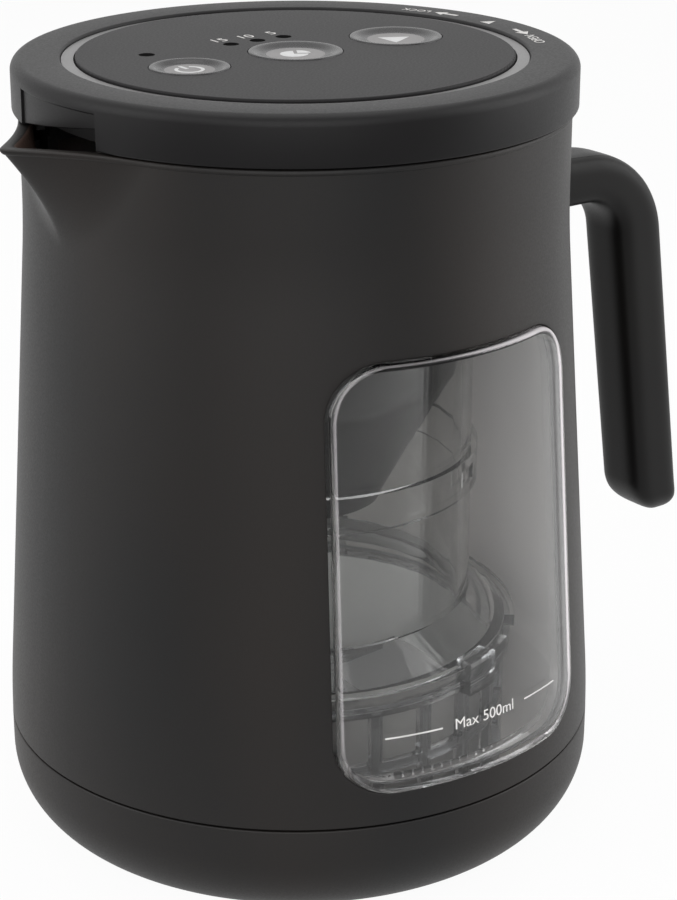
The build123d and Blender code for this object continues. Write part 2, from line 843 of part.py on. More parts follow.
# Lid tray: floor, rim and collar, with a hooded pour passage behind the notch
with BuildPart() as pour_hood:
    with Locations((-pour_depth + pour_wall, 0, tray_floor_low)):
        Box(tray_radius, 2 * (pour_half_width + pour_wall),
            pour_roof_low + pour_roof_thickness - tray_floor_low, align=(Align.MAX, Align.CENTER, Align.MIN))
    Cylinder(tray_radius, 2 * lid_top, mode=Mode.INTERSECT)
with BuildPart() as lid_tray:
    add(turned([
        (tray_hole_radius, tray_floor_low, 0),
        (tray_radius - tray_wall, tray_floor_low, 0),
        (tray_radius - tray_wall, collar_low, 0),
        (tray_radius, collar_low, 0),
        (tray_radius, tray_top, 0),
        (tray_radius - tray_wall, tray_top, 0),
        (tray_radius - tray_wall, tray_floor_top, 0),
        (tray_hole_radius, tray_floor_top, 0),
    ]))
    add(pour_hood.part)
    for turn in range(3):
        add(ring_arc(tray_radius - tray_wall / 2, lug_radius, lug_low, lug_low + lug_height,
                     lug_circle_start + 120 * turn, lug_span / 2))
    with Locations((-pour_depth, 0, pour_roof_low)):
        Box(tray_radius, 2 * pour_half_width, pour_roof_low - collar_low + pour_wall,
            align=(Align.MAX, Align.CENTER, Align.MAX), mode=Mode.SUBTRACT)
    add(tube(tray_radius - seal_depth, lid_radius, seal_low, seal_low + seal_height), mode=Mode.SUBTRACT)
    with Locations((0, 0, tray_floor_low)):
        with PolarLocations(board_post_circle, 4, start_angle=board_post_start):
            Cylinder(board_post_radius, board_low - tray_floor_low, align=on_floor)
        with PolarLocations(housing_screw_circle, 4, start_angle=housing_screw_start):
            Cylinder(board_post_radius, tray_floor_thickness + housing_boss_rise, align=on_floor)
            Cylinder(screw_radius + thread_fit,
                     housing_screw_length - housing_flange_thickness + screw_hole_spare,
                     align=on_floor, mode=Mode.SUBTRACT)
        with PolarLocations(lid_boss_circle, 4, start_angle=45):
            Cylinder(screw_radius + clearance_fit, tray_floor_thickness, align=on_floor, mode=Mode.SUBTRACT)
    with Locations((0, 0, board_low)):
        with PolarLocations(board_post_circle, 4, start_angle=board_post_start):
            Cylinder(screw_radius + thread_fit, board_screw_length - board_thickness + screw_hole_spare / 2,
                     align=hanging, mode=Mode.SUBTRACT)
    with Locations((0, tray_radius, board_low - board_tab_gap)):
        Box(2 * (board_tab_half_width + board_tab_gap), 4 * tray_wall, lid_top - board_low, align=on_floor,
            mode=Mode.SUBTRACT)
save(lid_tray, "lid_tray")

with BuildPart() as lid_seal:
    add(ring_arc(tray_radius - seal_depth + thread_fit, seal_radius, seal_low + thread_fit,
                 seal_low + seal_height - thread_fit, 0, 180 - seal_half_gap))
save(lid_seal, "lid_seal")

with BuildPart() as lid_screws:
    with Locations((0, 0, tray_floor_low - screw_head_height)):
        with PolarLocations(lid_boss_circle, 4, start_angle=45):
            add(screw(screw_head_radius, screw_head_height, screw_radius,
                      lid_screw_length + tray_floor_thickness - screw_hole_spare))
save(lid_screws, "lid_screws")

# Motor housing under the tray, with hooks for the brewing column and a nose for the shaft
cone_run = (housing_radius - nose_radius) / (housing_corner_height - nose_low)
cone_inset = housing_wall * sqrt(1 + cone_run ** 2)
nose_floor_radius = nose_radius - cone_inset + nose_floor * cone_run
with BuildPart() as motor_housing:
    add(turned([
        (housing_inner, flange_top, 0),
        (housing_flange_radius, flange_top, 0),
        (housing_flange_radius, flange_under, 0),
        (housing_radius, flange_under, 0),
        (housing_radius, housing_corner_height, 0),
        (nose_radius, nose_low, 0),
        (seal_ring_radius + press_clearance, nose_low, 0),
        (seal_ring_radius + press_clearance, bush_low, 0),
        (bush_radius + press_clearance, bush_low, 0),
        (bush_radius + press_clearance, bush_high, 0),
        (nose_boss_radius, bush_high, 0),
        (nose_boss_radius, nose_low + nose_floor, 0),
        (nose_floor_radius, nose_low + nose_floor, 0),
        (housing_inner, housing_corner_height + (cone_inset - housing_wall) / cone_run, 0),
        (housing_inner, mount_ledge_low - mount_ledge_width, 0),
        (housing_inner - mount_ledge_width, mount_ledge_low, 0),
        (housing_inner - mount_ledge_width, mount_plate_low, 0),
        (housing_inner, mount_plate_low, 0),
    ]))
    for turn in range(3):
        add(ring_arc(housing_radius - housing_wall / 2, hook_radius, hook_low, hook_low + hook_height,
                     hook_start + 120 * turn, hook_span / 2))
    with Locations((0, 0, flange_under)):
        with PolarLocations(housing_screw_circle, 4, start_angle=housing_screw_start):
            Cylinder(screw_radius + clearance_fit, housing_flange_thickness, align=on_floor,
                     mode=Mode.SUBTRACT)
save(motor_housing, "motor_housing")

with BuildPart() as housing_gasket:
    add(tube(housing_inner, housing_flange_radius, flange_top, tray_floor_low))
    with Locations((0, 0, flange_top)):
        with PolarLocations(housing_screw_circle, 4, start_angle=housing_screw_start):
            Cylinder(screw_radius + clearance_fit, gasket_thickness, align=on_floor, mode=Mode.SUBTRACT)
save(housing_gasket, "housing_gasket")

with BuildPart() as housing_screws:
    with Locations((0, 0, flange_under - screw_head_height)):
        with PolarLocations(housing_screw_circle, 4, start_angle=housing_screw_start):
            add(screw(screw_head_radius, screw_head_height, screw_radius,
                      housing_screw_length + gasket_thickness))
save(housing_screws, "housing_screws")

# Motor and battery on a plate inside the housing
with BuildPart() as motor_mount:
    with Locations((0, 0, mount_plate_low)):
        Cylinder(housing_inner - mount_plate_gap, mount_plate_thickness, align=on_floor)
        Cylinder(motor_boss_radius + clearance_fit, mount_plate_thickness, align=on_floor,
                 mode=Mode.SUBTRACT)
        with PolarLocations(motor_screw_circle, 2):
            Cylinder(motor_screw_radius + clearance_fit, mount_plate_thickness, align=on_floor,
                     mode=Mode.SUBTRACT)
save(motor_mount, "motor_mount")

with BuildPart() as motor_can:
    with Locations((0, 0, motor_low)):
        Cylinder(motor_radius, motor_length, align=on_floor)
    fillet(edges().filter_by(GeomType.CIRCLE), motor_boss_height / 2)
    with Locations((0, 0, motor_low - motor_boss_height)):
        Cylinder(motor_boss_radius, motor_boss_height + motor_radius, align=on_floor)
        Cylinder(motor_shaft_radius + running_fit, motor_boss_height + motor_shaft_grip, align=on_floor,
                 mode=Mode.SUBTRACT)
    with Locations((0, 0, motor_low)):
        with PolarLocations(motor_screw_circle, 2):
            Cylinder(motor_screw_radius + thread_fit, motor_screw_length, align=on_floor, mode=Mode.SUBTRACT)
save(motor_can, "motor_can")

with BuildPart() as motor_screws:
    with Locations((0, 0, mount_plate_low - screw_head_height)):
        with PolarLocations(motor_screw_circle, 2):
            add(screw(motor_screw_head_radius, screw_head_height, motor_screw_radius,
                      mount_plate_thickness + motor_screw_length - screw_hole_spare))
save(motor_screws, "motor_screws")

with BuildPart() as battery_cell:
    with Locations((0, battery_circle, motor_low)):
        Cylinder(battery_radius, battery_length, align=on_floor)
    with Locations((0, battery_circle, battery_top)):
        Cylinder(battery_cap_radius, battery_cap_height, align=on_floor)
save(battery_cell, "battery_cell")

with BuildPart() as battery_bracket:
    with Locations((0, battery_circle, tray_floor_low)):
        Cylinder(bracket_radius, tray_floor_low - battery_top + bracket_skirt, align=hanging)
    with Locations((0, battery_circle, bracket_ceiling)):
        Cylinder(battery_radius + battery_fit, bracket_ceiling - battery_top + bracket_skirt, align=hanging,
                 mode=Mode.SUBTRACT)
save(battery_bracket, "battery_bracket")

with BuildPart() as shaft_bush:
    add(tube(shaft_radius + running_fit, bush_radius, bush_low, bush_high))
save(shaft_bush, "shaft_bush")

with BuildPart() as shaft_seal:
    add(tube(shaft_radius + running_fit, seal_ring_radius, nose_low, bush_low))
save(shaft_seal, "shaft_seal")

# Rotor: motor shaft, coupler, drive shaft, stirrer and nut turn as one
with BuildPart() as motor_shaft:
    with Locations((0, 0, motor_shaft_low)):
        Cylinder(motor_shaft_radius, motor_low + motor_shaft_grip - screw_hole_spare - motor_shaft_low,
                 align=on_floor)
save(motor_shaft, "motor_shaft")

with BuildPart() as shaft_coupler:
    with Locations((0, 0, coupler_low)):
        Cylinder(coupler_radius, coupler_length, align=on_floor)
        Cylinder(shaft_radius + press_clearance, shaft_high - coupler_low, align=on_floor,
                 mode=Mode.SUBTRACT)
    with Locations((0, 0, motor_shaft_low)):
        Cylinder(motor_shaft_radius + press_clearance, coupler_length, align=on_floor, mode=Mode.SUBTRACT)
save(shaft_coupler, "shaft_coupler")

with BuildPart() as drive_shaft:
    with Locations((0, 0, shaft_low)):
        Cylinder(shaft_radius, shaft_high - shaft_low, align=on_floor)
save(drive_shaft, "drive_shaft")

with BuildPart() as stirrer:
    with Locations((0, 0, stirrer_low)):
        Cylinder(stirrer_hub_radius, stirrer_height, align=on_floor)
    with Locations((0, 0, stirrer_low + stirrer_height / 2)):
        with PolarLocations(blade_reach / 2, blade_count):
            Box(blade_reach, blade_thickness, blade_height, rotation=(blade_tilt, 0, 0))
    with Locations((0, 0, stirrer_low)):
        Cylinder(shaft_radius + press_clearance, stirrer_height, align=on_floor, mode=Mode.SUBTRACT)
save(stirrer, "stirrer")

with BuildPart() as stirrer_nut:
    with BuildSketch(Plane.XY.offset(stirrer_low - nut_height)):
        RegularPolygon(nut_radius, 6)
        Circle(shaft_radius + press_clearance, mode=Mode.SUBTRACT)
    extrude(amount=nut_height)
save(stirrer_nut, "stirrer_nut")

# Brewing column: a clear tube that hangs on the housing's hooks and flares into a flange
with BuildPart() as brew_cylinder:
    add(turned([
        (column_inner, column_top, 0),
        (column_radius, column_top, 0),
        (column_radius, band_high, 0),
        (column_radius + band_proud, band_high, 0),
        (column_radius + band_proud, band_low, 0),
        (column_radius, band_low, 0),
        (column_radius, flare_high, 0),
        (flange_radius - column_wall, column_flange_top, 0),
        (flange_radius, column_flange_top, 0),
        (flange_radius, flange_low, 0),
        (flange_inner_radius, flange_low, 0),
        (column_inner, flare_high - column_wall, 0),
    ]))
    band_middle = (band_low + band_high) / 2
    slot_inner = column_inner - column_wall
    slot_outer = column_radius + column_wall
    free_half = hook_span / 2 + hook_gap * hook_span / hook_height
    for turn in range(3):
        hook_middle = hook_start + 120 * turn
        hook_room_high = hook_low + hook_height + hook_gap
        add(ring_arc(slot_inner, slot_outer, hook_low - hook_gap, hook_room_high,
                     hook_middle, twist_range + free_half), mode=Mode.SUBTRACT)
        add(ring_arc(slot_inner, slot_outer, hook_low, column_top + column_wall,
                     hook_middle + twist_range, free_half), mode=Mode.SUBTRACT)
        add(ring_arc(column_radius + band_proud - band_slot_depth, column_radius + 2 * band_proud,
                     band_middle - band_slot_height / 2, band_middle + band_slot_height / 2,
                     band_slot_start + 120 * turn, band_slot_half_span), mode=Mode.SUBTRACT)
        add(ring_arc(flange_radius - basket_hook_lip - basket_gap, 2 * flange_radius,
                     0, column_flange_top + basket_gap, basket_hook_start + basket_twist + 120 * turn,
                     basket_notch_span / 2), mode=Mode.SUBTRACT)
save(brew_cylinder, "brew_cylinder")

# Filter basket: ring, ribs, hoop and floor around a mesh, held on the flange by three hooks
with BuildPart() as filter_basket:
    add(tube(basket_ring_inner, basket_ring_radius, basket_ring_low, basket_ring_top))
    add(tube(gasket_ring_inner, gasket_ring_outer, basket_ring_top - gasket_ring_depth, flange_low),
        mode=Mode.SUBTRACT)
    with Locations((0, 0, basket_low)):
        Cylinder(basket_radius, basket_floor, align=on_floor)
    with Locations((0, 0, basket_floor_top)):
        with PolarLocations(basket_radius - rib_depth / 2, rib_count):
            Box(rib_depth, rib_width, basket_ring_low - basket_floor_top, align=on_floor)
    hoop_low = (basket_floor_top + basket_ring_low - basket_hoop_height) / 2
    add(tube(basket_radius - basket_hoop_width, basket_radius, hoop_low, hoop_low + basket_hoop_height))
    for turn in range(3):
        hook_middle = basket_hook_start + 120 * turn
        lip_low = column_flange_top + basket_gap
        lip_high = lip_low + basket_hook_height
        add(ring_arc(basket_ring_radius - basket_hook_wall, hook_outer_radius,
                     basket_ring_low, basket_ring_top, hook_middle, basket_hook_span / 2))
        add(ring_arc(hook_inner_radius, hook_outer_radius,
                     basket_ring_low, lip_high, hook_middle, basket_hook_span / 2))
        add(ring_arc(flange_radius - basket_hook_lip, hook_outer_radius,
                     lip_low, lip_high, hook_middle, basket_hook_span / 2))
save(filter_basket, "filter_basket")

with BuildPart() as filter_mesh:
    add(tube(mesh_radius - mesh_thickness, mesh_radius, basket_floor_top, basket_ring_low))
save(filter_mesh, "filter_mesh")

with BuildPart() as basket_seal:
    add(tube(gasket_ring_inner + thread_fit, gasket_ring_outer - thread_fit,
             basket_ring_top - gasket_ring_depth, basket_ring_top))
save(basket_seal, "basket_seal")
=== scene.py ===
import bpy
import bmesh
import numpy as np
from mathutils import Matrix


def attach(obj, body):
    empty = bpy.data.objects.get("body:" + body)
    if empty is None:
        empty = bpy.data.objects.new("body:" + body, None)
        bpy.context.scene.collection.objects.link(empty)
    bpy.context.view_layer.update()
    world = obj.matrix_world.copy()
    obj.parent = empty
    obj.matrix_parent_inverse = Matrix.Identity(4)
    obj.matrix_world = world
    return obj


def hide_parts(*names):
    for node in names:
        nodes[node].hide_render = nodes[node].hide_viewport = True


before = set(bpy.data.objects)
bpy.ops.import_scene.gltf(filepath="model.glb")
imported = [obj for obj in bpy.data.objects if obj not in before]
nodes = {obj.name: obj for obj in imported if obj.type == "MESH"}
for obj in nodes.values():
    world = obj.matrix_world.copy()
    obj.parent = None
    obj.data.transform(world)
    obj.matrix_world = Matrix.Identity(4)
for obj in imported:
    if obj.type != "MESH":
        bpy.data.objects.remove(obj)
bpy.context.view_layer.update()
print("frame loaded:", len(nodes), "nodes")

# Portable coffee maker in a plain studio. Numbers are millimetres and degrees unless a note says otherwise,
# and meshes turn to metres as they are made. The handle is at +X, the spout at -X, the window faces -Y.
mm = 0.001


def colour(hexText):  # sRGB hex to a linear colour
    srgb = np.array([int(hexText[i:i + 2], 16) for i in (1, 3, 5)]) / 255
    linear = np.where(srgb <= 0.04045, srgb / 12.92, ((srgb + 0.055) / 1.055) ** 2.4)
    return (*linear.tolist(), 1.0)


def addNode(tree, kind, inputs=None, **settings):  # one node; an input given as a socket is linked
    node = tree.nodes.new("ShaderNode" + kind)
    for key, value in settings.items():
        setattr(node, key, value)
    for key, value in (inputs or {}).items():
        if isinstance(value, bpy.types.NodeSocket):
            tree.links.new(value, node.inputs[key])
        else:
            node.inputs[key].default_value = value
    return node


def startMaterial(name):  # an empty material and its object coordinates
    material = bpy.data.materials.new(name)
    material.use_nodes = True
    tree = material.node_tree
    tree.nodes.clear()
    return material, tree, addNode(tree, "TexCoord").outputs["Object"]


def mouldedPlastic(name, hexes, roughness, grain, cloudMm, gloss=0.5, ior=1.49,
                   flowStretch=(1, 1, 1), rim=None):
    # grain (size, depth, strength) breaks up the gloss, drawn coarser than a real spark-eroded grain so that
    # it shows; the resin's flow leaves faint clouds between two colours; rim (hex, from, to) adds a colour
    # with height
    material, tree, place = startMaterial(name)
    grainMm, grainDepth, grainStrength = grain
    speck = addNode(tree, "TexNoise", {"Vector": place, "Scale": 1 / (grainMm * mm), "Detail": 3.0})
    flow = addNode(tree, "Mapping", {"Vector": place, "Scale": flowStretch})
    cloud = addNode(tree, "TexNoise", {"Vector": flow.outputs[0], "Scale": 1 / (cloudMm * mm), "Detail": 2.0})
    share = addNode(tree, "MapRange", {"Value": cloud.outputs["Fac"], "From Min": 0.35, "From Max": 0.65})
    tone = addNode(tree, "Mix", {0: share.outputs[0], 6: colour(hexes[0]), 7: colour(hexes[1])},
                   data_type="RGBA")
    if rim:
        rimHex, rimFrom, rimTo = rim
        height = addNode(tree, "SeparateXYZ", {0: place})
        rise = addNode(tree, "MapRange", {"Value": height.outputs[2], "From Min": rimFrom * mm,
                                          "From Max": rimTo * mm})
        tone = addNode(tree, "Mix", {0: rise.outputs[0], 6: tone.outputs[2], 7: colour(rimHex)},
                       data_type="RGBA")
    rough = addNode(tree, "MapRange", {"Value": speck.outputs["Fac"], "From Min": 0.3, "From Max": 0.7,
                                       "To Min": roughness - 0.05, "To Max": roughness + 0.05})
    bump = addNode(tree, "Bump", {"Height": speck.outputs["Fac"], "Strength": grainStrength,
                                  "Distance": grainDepth * mm})
    shader = addNode(tree, "BsdfPrincipled", {"Base Color": tone.outputs[2], "Roughness": rough.outputs[0],
                                              "IOR": ior, "Normal": bump.outputs[0],
                                              "Specular IOR Level": gloss})
    addNode(tree, "OutputMaterial", {"Surface": shader.outputs[0]})
    return material


def clearPlastic(name, hexText, roughness, waveMm, highlightHex=None):
    # polished clear plastic with a slight wave from moulding; with a highlight colour, a pale matte shader is
    # mixed in as a painted highlight where the piece's own attribute says so
    material, tree, place = startMaterial(name)
    wave = addNode(tree, "TexNoise", {"Vector": place, "Scale": 1 / (waveMm * mm), "Detail": 1.0})
    bump = addNode(tree, "Bump", {"Height": wave.outputs["Fac"], "Strength": 0.2, "Distance": 0.05 * mm})
    shader = addNode(tree, "BsdfPrincipled", {"Base Color": colour(hexText), "Roughness": roughness,
                                              "IOR": 1.49, "Transmission Weight": 1.0,
                                              "Normal": bump.outputs[0]})
    if highlightHex:
        edge = addNode(tree, "Attribute", attribute_name="edgeHighlightShare")
        highlightPaint = addNode(tree, "BsdfPrincipled", {"Base Color": colour(highlightHex), "Roughness": 0.35})
        shader = addNode(tree, "MixShader", {0: edge.outputs["Fac"], 1: shader.outputs[0],
                                             2: highlightPaint.outputs[0]})
    addNode(tree, "OutputMaterial", {"Surface": shader.outputs[0]})
    return material


def brushedMetal(name, hexes, roughness, lineMm, lineStretch):
    # drawn or turned metal: fine lines along one axis stretch the highlights
    material, tree, place = startMaterial(name)
    lines = addNode(tree, "Mapping", {"Vector": place, "Scale": lineStretch})
    noise = addNode(tree, "TexNoise", {"Vector": lines.outputs[0], "Scale": 1 / (lineMm * mm), "Detail": 4.0})
    tone = addNode(tree, "Mix", {0: noise.outputs["Fac"], 6: colour(hexes[0]), 7: colour(hexes[1])},
                   data_type="RGBA")
    bump = addNode(tree, "Bump", {"Height": noise.outputs["Fac"], "Strength": 0.3, "Distance": 0.01 * mm})
    shader = addNode(tree, "BsdfPrincipled", {"Base Color": tone.outputs[2], "Metallic": 1.0,
                                              "Roughness": roughness, "Normal": bump.outputs[0]})
    addNode(tree, "OutputMaterial", {"Surface": shader.outputs[0]})
    return material


# Polypropylene, moulded with a fine satin grain: near-black with a brown smokiness, soft wide highlights
jugPolypropylene = mouldedPlastic("jugPolypropylene", ("#0f0e0e", "#1a1512"), roughness=0.5,
                                  grain=(0.45, 0.02, 0.25), cloudMm=60, gloss=0.36, flowStretch=(1, 1, 0.35))
# The same resin inside, pale grey as painted light for light soaking through the wall, brown near the rim
jugInsidePaintedLight = mouldedPlastic("jugInsidePaintedLight", ("#e3dfdc", "#eae7e4"), roughness=0.45,
                                        grain=(0.6, 0.01, 0.1), cloudMm=50, rim=("#4a3b34", 142, 156))
# ABS, moulded satin, on the lid: a touch cooler and smoother than the jug
lidAbs = mouldedPlastic("lidAbs", ("#0c0b0c", "#100f10"), roughness=0.45, grain=(0.4, 0.02, 0.25), cloudMm=80,
                        gloss=0.22, ior=1.52)
# ABS with a fine matte texture on the flat panel, which scatters the top light evenly
panelAbs = mouldedPlastic("panelAbs", ("#1b1a1b", "#201f20"), roughness=0.5, grain=(0.5, 0.02, 0.12),
                          cloudMm=40, gloss=0.15, ior=1.52)
# Polypropylene of the handle, moulded satin: the darkest of the blacks, with narrow highlights
handlePolypropylene = mouldedPlastic("handlePolypropylene", ("#0b0a0a", "#0f0e0d"), roughness=0.42,
                                     grain=(0.4, 0.02, 0.2), cloudMm=40, gloss=0.2)
# Silicone keys, moulded translucent grey: soft and milky
buttonSilicone = mouldedPlastic("buttonSilicone", ("#848282", "#8b8989"), roughness=0.5,
                                grain=(0.3, 0.01, 0.15), cloudMm=8)
# The keys' sloping rims: dark as painted shade in the dish, and smoother than the panel, so that the near
# edges shine
keyRimPaintedShade = mouldedPlastic("keyRimPaintedShade", ("#1c1b1c", "#201f20"), roughness=0.28, grain=(0.4, 0.01, 0.1),
                           cloudMm=20, gloss=0.4, ior=1.52)
# Silver lacquer, sprayed into the groove round the panel: an even grey ring with a slight sheen
grooveLacquer = mouldedPlastic("grooveLacquer", ("#6c6b6b", "#747373"), roughness=0.35,
                               grain=(0.2, 0.005, 0.1), cloudMm=20)
# Screen-printed ink, flat and chalky
whiteInk = mouldedPlastic("whiteInk", ("#dedcda", "#d5d3d1"), roughness=0.6, grain=(0.15, 0.005, 0.2),
                          cloudMm=3)
keyInk = mouldedPlastic("keyInk", ("#dcdcdc", "#d4d4d4"), roughness=0.5, grain=(0.15, 0.005, 0.2), cloudMm=3)
# Copolyester, polished clear: sharp reflections, and on the window a painted highlight: a white line along
# the edge
windowCopolyester = clearPlastic("windowCopolyester", "#fbfbfb", roughness=0.02, waveMm=25, highlightHex="#f3edf0")
columnCopolyester = clearPlastic("columnCopolyester", "#f9faf9", roughness=0.03, waveMm=20)
# Lightly smoked polycarbonate of the basket, moulded: see-through grey
basketPolycarbonate = clearPlastic("basketPolycarbonate", "#d8dadc", roughness=0.08, waveMm=12)
# Polypropylene of the housing that hangs in the column, moulded dark and satin
housingPolypropylene = mouldedPlastic("housingPolypropylene", ("#1b1a1a", "#201f1f"), roughness=0.35,
                                      grain=(0.5, 0.02, 0.2), cloudMm=30)
# Silicone rubber, moulded matte: a dull soft black
blackSilicone = mouldedPlastic("blackSilicone", ("#1d1d1d", "#232222"), roughness=0.7, grain=(0.6, 0.03, 0.3),
                               cloudMm=15)
# Smoked acrylic of the indicator lenses, moulded: dark dots that hardly shine
lensAcrylic = mouldedPlastic("lensAcrylic", ("#0c0c0c", "#101010"), roughness=0.6, grain=(0.4, 0.002, 0.1),
                             cloudMm=3, gloss=0.1, ior=1.05)
# Glass-epoxy laminate under green solder resist, with the weave just showing
boardLaminate = mouldedPlastic("boardLaminate", ("#1f5a38", "#24663f"), roughness=0.35,
                               grain=(0.5, 0.02, 0.3), cloudMm=6)
# Nylon of the switches and lamp bodies, moulded: plain mid grey
switchNylon = mouldedPlastic("switchNylon", ("#5c5c5c", "#646464"), roughness=0.45, grain=(0.3, 0.01, 0.2),
                             cloudMm=4)
# Shrink sleeve on the battery, a glossy blue film
cellSleeve = mouldedPlastic("cellSleeve", ("#274a86", "#2b5090"), roughness=0.25, grain=(1.5, 0.02, 0.2),
                            cloudMm=12)
# Acetal of the stirrer, moulded dark and slippery
stirrerAcetal = mouldedPlastic("stirrerAcetal", ("#3a3939", "#403f3f"), roughness=0.35,
                               grain=(0.4, 0.01, 0.2), cloudMm=20)
# Etched stainless mesh, whose fine holes scatter light as a satin plastic does: dull grey outside; the faces
# towards the axis or up take a bright copy as painted light
meshGrain = {"roughness": 0.35, "grain": (0.3, 0.02, 0.4), "cloudMm": 15}
etchedStainless = mouldedPlastic("etchedStainless", ("#585856", "#605f5e"), **meshGrain)
stainlessPaintedLit = mouldedPlastic("stainlessPaintedLit", ("#ececea", "#f0f0ee"), **meshGrain)
# Silicone of the basket's seal, moulded in its pale natural colour
paleSilicone = mouldedPlastic("paleSilicone", ("#9c9b99", "#a4a3a1"), roughness=0.5, grain=(0.6, 0.01, 0.2),
                              cloudMm=15)
# Zinc-plated steel screws, plated bright steel and turned brass, each with its lines along or round its axis
screwSteel = brushedMetal("screwSteel", ("#c4c2be", "#aeb0b2"), roughness=0.32, lineMm=0.4,
                          lineStretch=(1, 1, 0.2))
platedSteel = brushedMetal("platedSteel", ("#cfd0d2", "#bcbdbf"), roughness=0.22, lineMm=0.3,
                           lineStretch=(1, 1, 0.05))
turnedBrass = brushedMetal("turnedBrass", ("#d8b46a", "#c9a255"), roughness=0.28, lineMm=0.3,
                           lineStretch=(0.1, 0.1, 1))
print("materials ready:", len(bpy.data.materials))


def mergeDoubles(mesh, distance, outwards):
    # joins points closer than this distance, in metres, and may turn the faces outwards
    shell = bmesh.new()
    shell.from_mesh(mesh)
    bmesh.ops.remove_doubles(shell, verts=shell.verts, dist=distance)
    if outwards:
        bmesh.ops.recalc_face_normals(shell, faces=shell.faces)
    shell.to_mesh(mesh)
    shell.free()


def finishPiece(name, mesh, body, stands, sharp):
    # smooth with edges past sharp kept crisp, put on its body in place of the nodes that it stands for
    mesh.polygons.foreach_set("use_smooth", np.ones(len(mesh.polygons), bool))
    mesh.set_sharp_from_angle(angle=np.radians(sharp))
    piece = bpy.data.objects.new(name, mesh)
    bpy.context.scene.collection.objects.link(piece)
    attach(piece, body)
    if stands:
        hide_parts(*stands)
    return piece


def addPiece(name, points, faces, body, slot, material, *stands, sharp=35, second=None, secondFaces=None):
    # a mesh given in millimetres becomes a piece; secondFaces says which faces take the second material
    mesh = bpy.data.meshes.new(name)
    points = np.asarray(points, float).reshape(-1, 3) * mm
    mesh.from_pydata(points.tolist(), [], [list(map(int, face)) for face in faces])
    mesh.materials.append(material)
    if second is not None:
        mesh.materials.append(second)
        mesh.polygons.foreach_set("material_index", np.asarray(secondFaces, np.int32))
    mergeDoubles(mesh, 2e-7, outwards=True)
    return finishPiece(name, mesh, body, stands, sharp)


def gridFaces(rows, columns):  # quads between neighbouring rows; the columns wrap round
    i, j = np.meshgrid(np.arange(rows - 1), np.arange(columns), indexing="ij")
    k = (j + 1) % columns
    return np.stack([i * columns + j, i * columns + k, (i + 1) * columns + k, (i + 1) * columns + j], -1)


def addGrid(name, points, *rest, **options):  # a piece from points in rows and columns
    return addPiece(name, points, gridFaces(*points.shape[:2]).reshape(-1, 4), *rest, **options)


def meshValues(items, key):  # one vector for each point or face of a mesh
    values = np.empty(len(items) * 3, np.float32)
    items.foreach_get(key, values)
    return values.reshape(-1, 3)


def ramp(t, start, end):  # 0 up to start, 1 from end on, straight between them
    return np.clip((t - start) / (end - start), 0, 1)


def arc(centreR, centreZ, radius, start, end, count):  # profile points (r, z) on an arc
    turn = np.radians(np.linspace(start, end, count))
    return np.stack([centreR + radius * np.cos(turn), centreZ + radius * np.sin(turn)], -1)


def boxProfile(box):  # the corners (r, z) of a ring with a rectangular section
    return [(box[r], box[z])
            for r, z in (("inner", "low"), ("outer", "low"), ("outer", "high"), ("inner", "high"))]


def revolve(profile, turns):  # every profile point (r, z) carried round the axis through the given turns
    r, z = np.asarray(profile, float).T[:, :, None]
    return np.stack(np.broadcast_arrays(r * np.cos(turns), r * np.sin(turns), z), -1)


def closeEnds(rows):  # a row that is all middle point closes each end
    first, last = (np.zeros_like(rows[:1]) + rows[i].mean(0) for i in (0, -1))
    return np.concatenate([first, rows, last])


def ringBlock(profile, start, end, count):  # a closed profile (r, z) carried from start to end degrees
    return closeEnds(revolve(profile, np.radians(np.linspace(start, end, count))).transpose(1, 0, 2))


turnSteps = np.arange(0, 360, 1.875)
fullTurn = np.radians(turnSteps)

# Jug: foot, cone and neck with soft corners, the spout, and the hole for the window
jug = {"baseRadius": 68.55, "rimRadius": 60.6, "baseCorner": 31.5, "neckCorner": 146.0, "cornerHalf": 7.63,
       "rim": 170.0, "wall": 2.6, "floor": 10.0, "seam": 26.5, "seamSoft": 0.3,
       "tubRadius": 65.95, "tubRound": 14.0,
       "lip": 0.9, "lipPower": 0.6, "bead": 0.38, "beadLow": 168.6, "beadRound": 0.4, "beadLead": 0.1,
       "beadShares": (0, 0.06, 0.2, 0.5, 1), "neckRows": (137.0, 140.0, 143.5),
       "backColumns": 85, "sideColumns": 11}
spout = {"drop": 23.0, "reach": 14.5, "thin": 0.9, "curve": 1.45, "half": 26.0, "leastShare": 0.04,
         "tipRound": 1.1, "tipRoundInside": 1.4, "steepest": 3.0,
         "rows": 33, "columns": 19, "crowding": 1.7, "blendEnd": 150.0, "blendColumns": 10}
windowHole = {"middle": 81.55, "lowHalf": 33.36, "highHalf": 31.35, "halfWidth": 33.0, "halfHeight": 47.65,
              "corner": 12.0, "edgeRound": 0.5, "backStep": 0.2, "frameHalf": 36.0, "frameLow": 29.4,
              "frameHigh": 133.7, "columns": 48, "rows": 64, "patchRows": 8}


def softRamp(t, half):  # nothing below, t above, joined by a parabola 2 * half wide
    return np.where(t < -half, 0.0, np.where(t > half, t, (t + half) ** 2 / (4 * half)))


def wallRadius(z):  # foot cylinder, then a straight cone, then the neck cylinder
    slope = (jug["baseRadius"] - jug["rimRadius"]) / (jug["neckCorner"] - jug["baseCorner"])
    climb = (softRamp(z - jug["baseCorner"], jug["cornerHalf"])
             - softRamp(z - jug["neckCorner"], jug["cornerHalf"]))
    return jug["baseRadius"] - slope * climb


def insideRadius(z):  # the outer wall less its thickness, drawn in below the foot's corner
    tubInside = jug["tubRadius"] - jug["wall"]
    drawnIn = tubInside + jug["wall"] * ramp(z, jug["seam"], jug["baseCorner"])
    return np.where(z < jug["baseCorner"], drawnIn, wallRadius(z) - jug["wall"])


